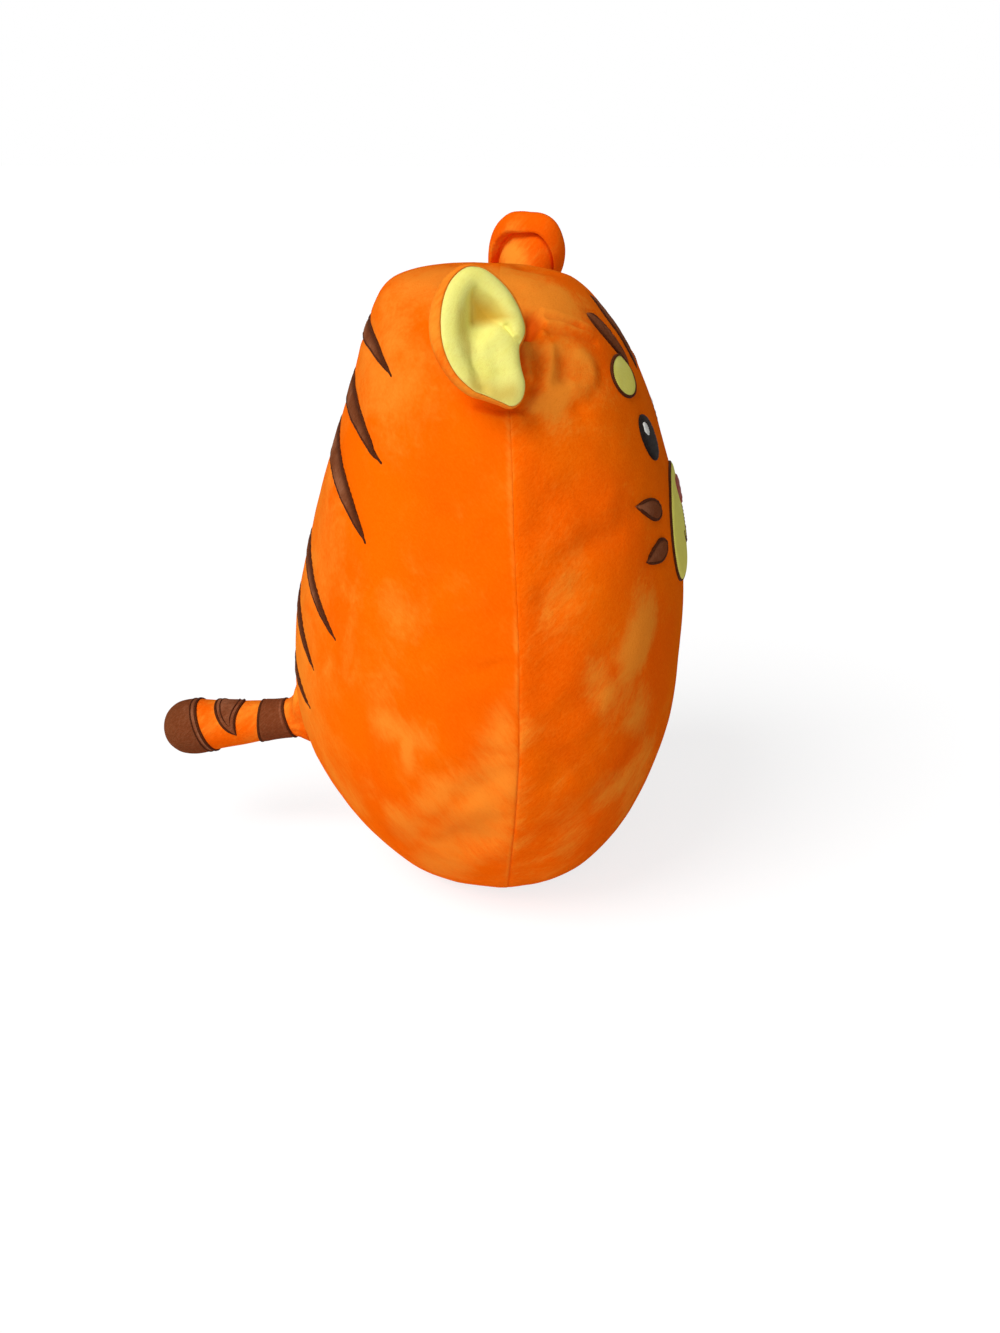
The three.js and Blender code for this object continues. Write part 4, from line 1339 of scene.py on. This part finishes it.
def ear_height(places, gap, angles, side):
    """Height of the lining over the rim's plane, in mm. Gap is the distance from the outline."""
    roll, plump = by_angle(ROLL, angles), by_angle(ROLL_PLUMPNESS, angles)
    arc = np.sqrt(np.clip(roll**2 - (gap - roll) ** 2, 0, None)) * plump
    rim = arc - 3.0 * np.clip(gap - 2 * roll, 0, None)
    slope = roll * plump - (gap - roll) ** 2 / 9.5
    share = by_angle(SLOPING, angles) * (gap > roll)
    rim = RIM_DROP + rim * (1 - share) + slope * share
    hollow = thin_plate(HOLLOW, places) * (1.0 if side < 0 else 0.45)
    rolled = np.where(gap < roll, np.maximum(rim, RIM_DROP), smooth_max(rim, hollow, 3.2))
    pillow = RIM_DROP + (hollow - RIM_DROP) * np.sqrt(1 - (1 - np.clip(gap / 4.5, 0, 1)) ** 2)
    width = np.where((places[:, 0] > 11) & (places[:, 1] > -8), 0.7, 3.5)
    on_lobe = smooth_step(depth_inside(LOBE, places), -width, width)
    drop = 0.8 * bell(np.hypot(places[:, 0] - 2.4, places[:, 1] + 21.5), 2.0)
    for line, depth, wide in EAR_CREASES:
        drop += depth * bell(off_line(places, line), wide)
    return rolled * (1 - on_lobe) + pillow * on_lobe - drop * smooth_step(gap, 0.1, 1.2)


def ear_reach(side):
    """How far an ear's outline is from its centre in each sector."""
    return ear_radii * (by_angle(LEFT_FULLER, ear_angles) if side > 0 else 1.0)


def lining_grid(side):
    """Flat places from the rim to the centre, their gaps from the outline, and their sectors."""
    steps = np.linspace(0, 1, 52) ** 1.5
    places = EAR_CENTRE + ear_rays * (ear_reach(side) * (1 - steps[:, None]))[..., None]
    flat = places.reshape(-1, 2)
    gap = off_line(flat, places[0], closed=True)
    gap[:EAR_SECTORS] = 0
    return flat, gap, np.tile(ear_angles, len(steps)), len(steps)


print("ear outline, mm:", np.ptp(ear_curve, axis=0).round(1))

# %% [markdown]
# The orange layer needs a roll that stands out behind the rim, a fold under it, and a neck. Each
# sector's section is an arc, then a curve by way of a waist to the root that is sewn to the head.
# The right ear is the near one in the photo. The left one mirrors it, but it stands a little higher
# and its rim is rolled over further, as the photo shows.

# %% List how the ears stand and roll
EAR_OUTWARD = np.array([0.7822, 0, 0.6230])
CUP_MIDDLE = np.array([95.321, -9.921, 280.298])
CUP_ALONG = np.array([-0.2918, 0.0906, 0.9522])
CUP_ACROSS = np.array([0.4226, 0.9053, 0.0434])
CUP_FACING = np.array([0.858, -0.4151, 0.3024])
CUP_RAISE = {1: np.array([1.0, -3.0, 9.0]), -1: np.zeros(3)}
SHELL_BULGE = {
    1: [(0, 1.2), (30, 2.6), (60, 4.8), (90, 5.4), (135, 5.2), (180, 4.6), (225, 3.8), (270, 2), (315, 1.2)],
    -1: [(0, 1.8), (45, 2.4), (80, 2.0), (100, 2.3), (125, 3.2), (150, 4.2), (180, 4.3), (205, 3.6),
         (225, 3.0), (245, 2.8), (262, 2.4), (280, 1.5), (300, 1.1), (330, 1.0)],
}
SHELL_DEPTH = {1: 5.4, -1: 4.4}
CREASE = [(0, 0.5), (30, 3.2), (55, 8.0), (90, 8.4), (135, 5.0), (180, 2.2), (225, 1), (300, 0)]
FAR_EAR_FOLD = [(1.0, 0.3), (2.0, 1.1), (3.0, 2.4), (3.7, 3.7), (4.2, 4.5), (4.8, 4.8), (5.6, 4.3),
                (6.6, 3.0), (8.0, 1.2)]
FOLD_SHARE = [(0, 0.15), (30, 0.25), (60, 0.4), (85, 0.7), (110, 0.95), (150, 0.6), (190, 0.4), (300, 0.2)]
DEPTH_SHARE = [(90, 1.1), (180, 1.05), (270, 0.85), (0, 0.9)]
print("steepness of the ears' plane, degrees:", round(math.degrees(math.acos(CUP_FACING[2]))))

# %% [markdown]
# These functions turn places on an ear's plane into points in the scene and back, and build the
# orange layer ring by ring: round the roll, in under it, along the neck and a little into the head.

# %% Define the outside of an ear
def ear_place(flat, height, side, raised=1.0):
    """Points in metres from (forward, up) and height on an ear's plane, in mm."""
    middle = CUP_MIDDLE + CUP_RAISE[side] * raised
    points = middle - flat[:, :1] * CUP_ACROSS + flat[:, 1:2] * CUP_ALONG
    return (points + np.asarray(height)[:, None] * CUP_FACING) * MM * [side, 1, 1]


def on_ear_plane(points, side):
    """The opposite: (forward, up, height) in mm of points in metres."""
    away = points / MM * [side, 1, 1] - CUP_MIDDLE - CUP_RAISE[side]
    return np.stack([-away @ CUP_ACROSS, away @ CUP_ALONG, away @ CUP_FACING], -1)


def ear_ring(side, centre, forward, up, raised):
    """An oval ring from its centre and its two half axes, in (forward, up, height)."""
    ring = np.array(centre) + ear_rays[:, :1] * np.array(forward) + ear_rays[:, 1:] * np.array(up)
    return ear_place(ring, ring[:, 2], side, raised)


def ear_outside(side):
    """Rings of the orange layer's outside, from the seam along the rim to the root."""
    outline = EAR_CENTRE + ear_rays * ear_reach(side)[:, None]
    outward = -sideways(outline)
    bulge = by_angle(SHELL_BULGE[side], ear_angles)
    depth = SHELL_DEPTH[side] * by_angle(DEPTH_SHARE, ear_angles)
    fold = by_angle(CREASE, ear_angles) if side > 0 else np.full(EAR_SECTORS, 2.0)
    rings = []
    for turn in np.linspace(0, math.pi * (0.84 if side > 0 else 0.97), 16):
        out = 0.15 + bulge * math.sin(turn) - 0.42 * fold * (1 - math.cos(turn))
        drop = RIM_DROP - 0.25 - depth * (1 - math.cos(turn))
        folded = outline + outward * out[:, None]
        rings.append(ear_place(folded, drop, side))
    if side > 0:
        towards = EAR_CENTRE - folded
        towards *= (by_angle(FOLD_SHARE, ear_angles) / lengths(towards))[:, None]
        for inward, rise in FAR_EAR_FOLD:
            rings.append(ear_place(folded + towards * inward, drop + rise, side))
    waist = ear_ring(side, (9.5, -3.5, -15.2), (12.5 + 2.5 * (side > 0), 0, 1.0), (0.8, 19.5, -3.0), 0.6)
    root = ear_ring(side, (16.25, -8.65, -17.0), (2.05, 0, 0.85), (2.15, 13.85, -4.95), 0.0)
    last = rings[-1]
    for t in np.linspace(0, 1, 18)[1:]:
        rings.append(last * (1 - t) ** 2 + waist * 2 * t * (1 - t) + root * t**2)
    into_head = -EAR_OUTWARD * [side, 1, 1] * MM
    middle = root.mean(0)
    rings += [root + into_head * depth for depth in (2, 4, 6, 8)]
    rings.append(middle + (root - middle) * 0.5 + into_head * 8.8)
    return rings, middle + into_head * 9


print("rings of the right ear's outside:", len(ear_outside(-1)[0]))

# %% [markdown]
# Each ear is made as its cream lining and its orange outer layer.

# %% Make the ears
def lining_painted_shade(places):
    """Where shade is painted on the lining: most in the hollow, and in two soft folds."""
    shade = smooth_step(depth_inside(np.array(HOLLOW_PAINTED_SHADE), places), -3.5, 3)
    shade = np.maximum(shade, 0.3 * bell(off_line(places, [(-5.5, 9), (-4.5, 0), (-3, -6)]), 2.6))
    return np.maximum(shade, 0.62 * bell(off_line(places, [(-1, -20), (8, -24), (13, -23)]), 4.2))


def make_ear(name, side):
    """One ear: its cream lining and its orange outer layer."""
    flat, gap, angles, steps = lining_grid(side)
    top = ear_height(flat, gap, angles, side)
    under = np.minimum(top, RIM_DROP) - np.minimum(0.9 * gap, 2.4)
    sheets = [ear_place(flat, top, side), ear_place(flat, under, side)]
    faces = grid_quads(steps, EAR_SECTORS, wrap=True)
    faces += grid_quads(steps, EAR_SECTORS, wrap=True, start=len(flat))
    lining = make_piece(name + "_lining", np.concatenate(sheets), faces, cream_velour)
    rings, foot = ear_outside(side)
    inner = ear_place(EAR_CENTRE + (flat - EAR_CENTRE) * 1.006, under - 0.3, side)
    count = len(rings) * EAR_SECTORS
    faces = grid_quads(len(rings), EAR_SECTORS, wrap=True)
    faces += grid_quads(steps, EAR_SECTORS, wrap=True, start=count + 1)
    faces += ring_quads(0, count + 1, EAR_SECTORS) + ring_fan(count - EAR_SECTORS, count, EAR_SECTORS)
    shell = make_piece(name + "_back", np.concatenate(rings + [foot[None], inner]), faces, ear_velour)
    # Painted shade in the lining's hollow and in two soft folds.
    mark(lining, "painted_shade", lining_painted_shade(on_ear_plane(coordinates(lining), side)[:, :2]))
    for piece in (lining, shell):
        forward, up, height = on_ear_plane(coordinates(piece), side).T
        # The far ear's neck is marked paler too.
        on_neck = (side > 0) * (height < -9) * (1 - smooth_step(np.hypot(forward - 2.5, up - 13), 0, 19))
        brushed_and_painted_highlight = 0.4 + 0.3 * soft_noise(coordinates(piece), 14 * MM, 3) - 0.35 * side
        mark(piece, "brushed_and_painted_highlight", brushed_and_painted_highlight + 1.1 * on_neck)
        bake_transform(piece)
    return lining, shell


for ear_name, side in (("left_ear", 1), ("right_ear", -1)):
    for piece in make_ear(ear_name, side):
        print(piece.name, len(piece.data.polygons), "faces, open edges:", open_edges(piece))

# %% [markdown]
# ## Tail
# The tail is a stuffed tube: an orange sleeve sewn into the back, a brown band, an orange sleeve
# with a brown crescent over its top, and a brown tip. It is turned round its own axis, with a few
# soft swells from the filling and small gathers at the root. Two sleeves meet under the band.

# %% Define the tail's form
TAIL_AXIS = np.array([0, 0.99255, -0.12187])
TAIL_UP = np.array([0, 0.12187, 0.99255])
TAIL_FORM = np.array([
    (-4, 13.8), (0, 11.4), (3, 10.0), (8, 9.5), (14.75, 9.8), (22, 10.6), (29.5, 11.3), (38, 12.0),
    (46, 12.9), (54, 14.0), (60, 14.3), (66, 13.4), (70, 11.2), (72.8, 8.2), (74.4, 4.4), (75, 0.0),
])
TAIL_SECTORS = 96
TAIL_PROFILE = through_rows(TAIL_FORM, np.linspace(0, 1, 600))
TAIL_DROOP = 0.8
PLUG_INSET = 2.6
EDGE_ARC = 13
round_tail = turns(TAIL_SECTORS)
BAND_NEAR = 6.6 + 2.0 * np.cos(round_tail)
BAND_FAR = 21.6 - 1.3 * np.cos(round_tail)
CAP_START = 51.6 + 3.4 * np.cos(round_tail)


def tail_surface(flat, lift=0.0):
    """Points and normals of the tail from (place along it in mm, angle from its top)."""
    along, angle = np.asarray(flat, float).T
    place, thick = TAIL_PROFILE.T
    radius = np.interp(along, place, thick)
    slope = np.gradient(thick, place + np.arange(len(place)) * 1e-9)
    lean = np.interp(along, place, np.clip(slope, -20, 20))
    gather = 0.28 * np.cos(angle * 14) * bell(along - 1, 3.5)
    flare = 8.0 * np.exp(-np.clip(along, 0, None) / 2.9) * smooth_step(np.cos(angle), 0.1, 0.9)
    radius = radius + (gather + flare) * (radius > 1)
    across = np.stack([np.sin(angle), 0 * angle, 0 * angle], -1) + np.cos(angle)[:, None] * TAIL_UP
    facing = unit(across - TAIL_AXIS * lean[:, None])
    points = TAIL_ROOT / MM + TAIL_AXIS * along[:, None] + across * radius[:, None]
    points -= TAIL_UP * (TAIL_DROOP * smooth_step(along, 5, 40))[:, None]
    lift = 0.35 * soft_noise(points * MM, 15 * MM, 7) * (along < 74) + lift
    return (points + facing * lift[:, None]) * MM, facing


def along_tail(place):
    """A point on the tail's axis, in metres."""
    return tuple(TAIL_ROOT + TAIL_AXIS * place * MM)


def tail_cloth(name, start, end, shares, lifts, material, poles=None):
    """A closed double sheet round the tail between two lines round it, or from one to a closed end."""
    along = start + (end - start) * shares[:, None] + 0 * round_tail
    flat = np.stack([along, np.broadcast_to(round_tail, along.shape)], -1).reshape(-1, 2)
    sheets = [tail_surface(flat, lift)[0] for lift in lifts]
    count, last = len(flat), len(flat) - TAIL_SECTORS
    faces = grid_quads(len(shares), TAIL_SECTORS, wrap=True)
    faces += grid_quads(len(shares), TAIL_SECTORS, wrap=True, start=count)
    faces += ring_quads(0, count, TAIL_SECTORS)
    if poles is None:
        faces += ring_quads(last, last + count, TAIL_SECTORS)
    else:
        sheets.append(poles)
        faces += ring_fan(last, 2 * count, TAIL_SECTORS)
        faces += ring_fan(last + count, 2 * count + 1, TAIL_SECTORS)
    return make_piece(name, np.concatenate(sheets), faces, material), flat


def pale_spots(piece):
    """Noise for where the pile of the tail is brushed, from -1 to 1."""
    return soft_noise(coordinates(piece), 12 * MM, 8)


print("tail length, mm:", TAIL_FORM[-1, 0])

# %% [markdown]
# The band, the crescent and the tip each get the same dark stitched edge as the stripes. The tip is
# a closed cap whose edge butts against the sleeve.

# %% Make the tail
def stitched_ring(name, places, width=1.6, height=0.6):
    """A satin ridge round the tail at places that go round with the angle."""
    fine = turns(280)
    along = np.interp(fine, round_tail, places, period=2 * math.pi)
    points, normals = tail_surface(np.stack([along, fine], -1), 0.1)
    return satin_ridge(name, points, normals, width, height)


def make_sleeve(name, start, end, rows):
    """An orange sleeve between two places along the tail."""
    piece, _ = tail_cloth(name, start, end, np.linspace(0, 1, rows), (0, -1.6), ear_velour)
    mark(piece, "brushed_and_painted_highlight", 0.35 + 0.4 * pale_spots(piece))
    return piece


def make_band():
    """The brown band, puffed between its stitched edges."""
    shares = np.linspace(0, 1, 22)
    edge = np.clip(np.minimum(shares, 1 - shares) / 0.2, 0, 1)
    puff = np.repeat(0.15 + 0.75 * np.sqrt(1 - (1 - edge) ** 2), TAIL_SECTORS)
    piece, _ = tail_cloth("tail_band", BAND_NEAR, BAND_FAR, shares, (puff, 0.05), brown_velour)
    # A painted highlight: a pale line just inside the near stitched edge.
    low = np.interp(np.tile(np.repeat(shares, TAIL_SECTORS), 2), [0.07, 0.12, 0.17], [0, 1, 0])
    mark(piece, "brushed_and_painted_highlight", 0.3 * pale_spots(piece) - 0.25 + 0.9 * low)
    return piece


def make_tip():
    """The brown tip as a closed cap of cloth."""
    shares = np.sin(np.linspace(0, math.pi / 2, 34))
    poles = np.array([along_tail(75.15), along_tail(73.2)]) - TAIL_UP * TAIL_DROOP * MM
    piece, flat = tail_cloth("tail_tip_cap", CAP_START, 74.95, shares, (0.15, -1.7), brown_velour, poles)
    pale = 0.05 + 0.3 * pale_spots(piece)
    # A painted highlight: a pale line just inside the stitched edge.
    seam = bell(flat[:, 0] - np.tile(CAP_START, len(shares)) - 1.5, 0.45)
    pale[:2 * len(flat)] += np.tile(1.1 * seam, 2)
    mark(piece, "brushed_and_painted_highlight", pale)
    return piece


def crescent_outline():
    """The crescent over the tail's top, along it and round it in metres, with a point on each side."""
    point, upset = np.array([33.6, 1.78]), np.array([1, -1])
    far = np.array([(38.5, 1.5), (44.4, 1.0), (44.6, 0.0)])
    near = np.array([(35.2, 0.9), (31.0, 0.6), (30.6, 0.0)])
    halves = [there_and_back(point, far, mirror=upset),
              there_and_back(point * upset, near * upset, mirror=upset)]
    return np.concatenate(halves) * [1, EDGE_ARC] * MM


def lay_on_tail(flat):
    """Points and normals on the tail from places along it and round it, both in metres."""
    return tail_surface(flat / MM / [1, EDGE_ARC])


root_sleeve = make_sleeve("tail_root_sleeve", -4.0, 18.0, 30)
end_sleeve = make_sleeve("tail_end_sleeve", 18.2, CAP_START - 0.1, 46)
band, tip = make_band(), make_tip()
band_near_edge = stitched_ring("tail_band_near_stitching", BAND_NEAR)
band_far_edge = stitched_ring("tail_band_far_stitching", BAND_FAR)
tip_edge = stitched_ring("tail_tip_stitching", CAP_START)
tip_row = stitched_ring("tail_tip_inner_stitching", CAP_START + 2.8, 0.8, 0.35)
print("tail pieces, open edges:", open_edges(root_sleeve, end_sleeve, band, tip, tip_edge, tip_row))

# %% [markdown]
# The crescent is laid on the tail as the stripes are on the body. A second, thinner row of stitches
# runs inside its edge, but not in its two thin points.

# %% Make the crescent
crescent = padded_patch("tail_patch", crescent_outline(), lay_on_tail, brown_velour, 0.7, spacing=1.2)
edge_line = evenly_spaced(crescent_outline(), 0.3 * MM)
edge_points, edge_normals = lay_on_tail(edge_line)
crescent_edge = satin_ridge("tail_patch_stitching", edge_points, edge_normals, height=0.8)
row_line = drawn_in(edge_line, 2.3 * MM)
row_line = row_line[off_line(row_line, edge_line, closed=True) > 2.1 * MM]
row_points, row_normals = lay_on_tail(evenly_spaced(row_line, 0.3 * MM))
crescent_row = satin_ridge("tail_patch_inner_stitching", row_points + row_normals * 0.62 * MM,
                           row_normals, 0.8, 0.4)
print("crescent, open edges:", open_edges(crescent, crescent_edge, crescent_row))

# %% [markdown]
# The filling of the tail is two lumpy plugs with a gap at the bend. The band and its stitching then
# ride on the tail's root, and the tip and its stitching on its end.

# %% Fill the tail and attach its band and tip
def tail_plug(name, start, end):
    """A lumpy rounded plug of fibre inside the tail."""
    sectors = 36
    angle = turns(sectors)
    shares = np.linspace(0, 1, 26)[1:-1]
    along = start + (end - start) * (0.5 - 0.5 * np.cos(math.pi * shares))
    flat = np.stack(np.meshgrid(along, angle, indexing="ij"), -1).reshape(-1, 2)
    axis = TAIL_ROOT + TAIL_AXIS * flat[:, :1] * MM
    skin, _ = tail_surface(flat, -PLUG_INSET)
    rounding = np.repeat(np.clip(np.sin(math.pi * shares) * 2.2, 0, 1) ** 0.5, sectors)[:, None]
    points = axis + (skin - axis) * rounding * (1 + 0.06 * soft_noise(skin, 5 * MM, 6)[:, None])
    count = len(points)
    faces = grid_quads(len(along), sectors, wrap=True)
    faces += ring_fan(0, count, sectors) + ring_fan(count - sectors, count + 1, sectors)
    points = np.concatenate([points, [along_tail(start), along_tail(end)]])
    piece = make_piece(name, points, faces, fibre_filling)
    return piece


root_filling = tail_plug("tail_root_filling", 1.0, 19.5)
end_filling = tail_plug("tail_end_filling", 21.5, 72.5)
for piece in (root_sleeve, root_filling):
    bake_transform(piece)
for piece in (end_sleeve, end_filling, crescent, crescent_edge, crescent_row):
    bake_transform(piece)
for piece in (band, band_near_edge, band_far_edge):
    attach(piece, "tail_root")
for piece in (tip, tip_edge, tip_row):
    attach(piece, "tail_end")

# %% [markdown]
# ## Stage and light
# The toy stands on a plain pale floor in a white studio. A large soft light from behind the toy's
# right shoulder lights its back and flank, a weaker one fills from the camera's side, and the sky
# lifts the shadows. Distant lamps light the floor evenly, so it stays plain to the horizon. The
# camera sees white where it looks past the toy, and the floor keeps the soft shadow.

# %% Build the floor, the sky and the lamps
FLOOR_SIZE = 12.0


def soft_sun(name, towards, spread, strength):
    """Even soft light from a direction. Spread is the angle of its source in degrees."""
    data = bpy.data.lights.new(name, "SUN")
    data.angle = math.radians(spread)
    data.energy = strength
    lamp = add_object(name, data)
    lamp.rotation_euler = Vector(towards).to_track_quat("Z", "Y").to_euler()


def seen_directly(tree):
    """1 for rays from the camera and for what gloss and glass show, as a socket."""
    path = tree.nodes.new("ShaderNodeLightPath").outputs
    seen = maths(tree, "MAXIMUM", path["Is Camera Ray"], path["Is Glossy Ray"])
    return maths(tree, "MAXIMUM", seen, path["Is Transmission Ray"])


def show_mix(tree, share, first, second, end):
    """Shows a share of the second shader over the first."""
    mix = add_node(tree, "MixShader", {0: share, 1: first, 2: second})
    tree.links.new(mix, tree.nodes[end].inputs["Surface"])


def make_floor():
    """A wide pale floor."""
    mesh = bpy.data.meshes.new("floor")
    corners = [(x * FLOOR_SIZE, y * FLOOR_SIZE, 0) for x, y in ((-1, -1), (1, -1), (1, 1), (-1, 1))]
    mesh.from_pydata(corners, [], [(0, 1, 2, 3)])
    material, tree, shader = shader_tree("floor")
    plug(tree, shader, {"Base Color": (0.8, 0.8, 0.8, 1), "Roughness": 1.0, "Specular IOR Level": 0.0})
    glow = add_node(tree, "Emission", {"Strength": 1.3})
    share = maths(tree, "MULTIPLY", seen_directly(tree), 0.6)
    show_mix(tree, share, shader.outputs["BSDF"], glow, "Material Output")
    mesh.materials.append(material)
    add_object("floor", mesh)


def make_sky(level):
    """An even grey-white sky that the camera sees as white."""
    world = bpy.data.worlds.new("studio")
    world.use_nodes = True
    tree = world.node_tree
    light = plug(tree, tree.nodes["Background"], {"Color": (1, 1, 1, 1), "Strength": level})
    white = add_node(tree, "Background", {"Color": (1, 1, 1, 1), "Strength": 1.0})
    show_mix(tree, seen_directly(tree), light.outputs["Background"], white, "World Output")
    bpy.context.scene.world = world


make_floor()
make_sky(0.13)
soft_sun("key", (-0.5, 0.45, 0.74), 35, 2.25)
soft_sun("fill", (-0.97, 0.1, 0.24), 60, 1.42)
bpy.context.scene.view_settings.view_transform = "Standard"
print("lamps:", len(bpy.data.lights))
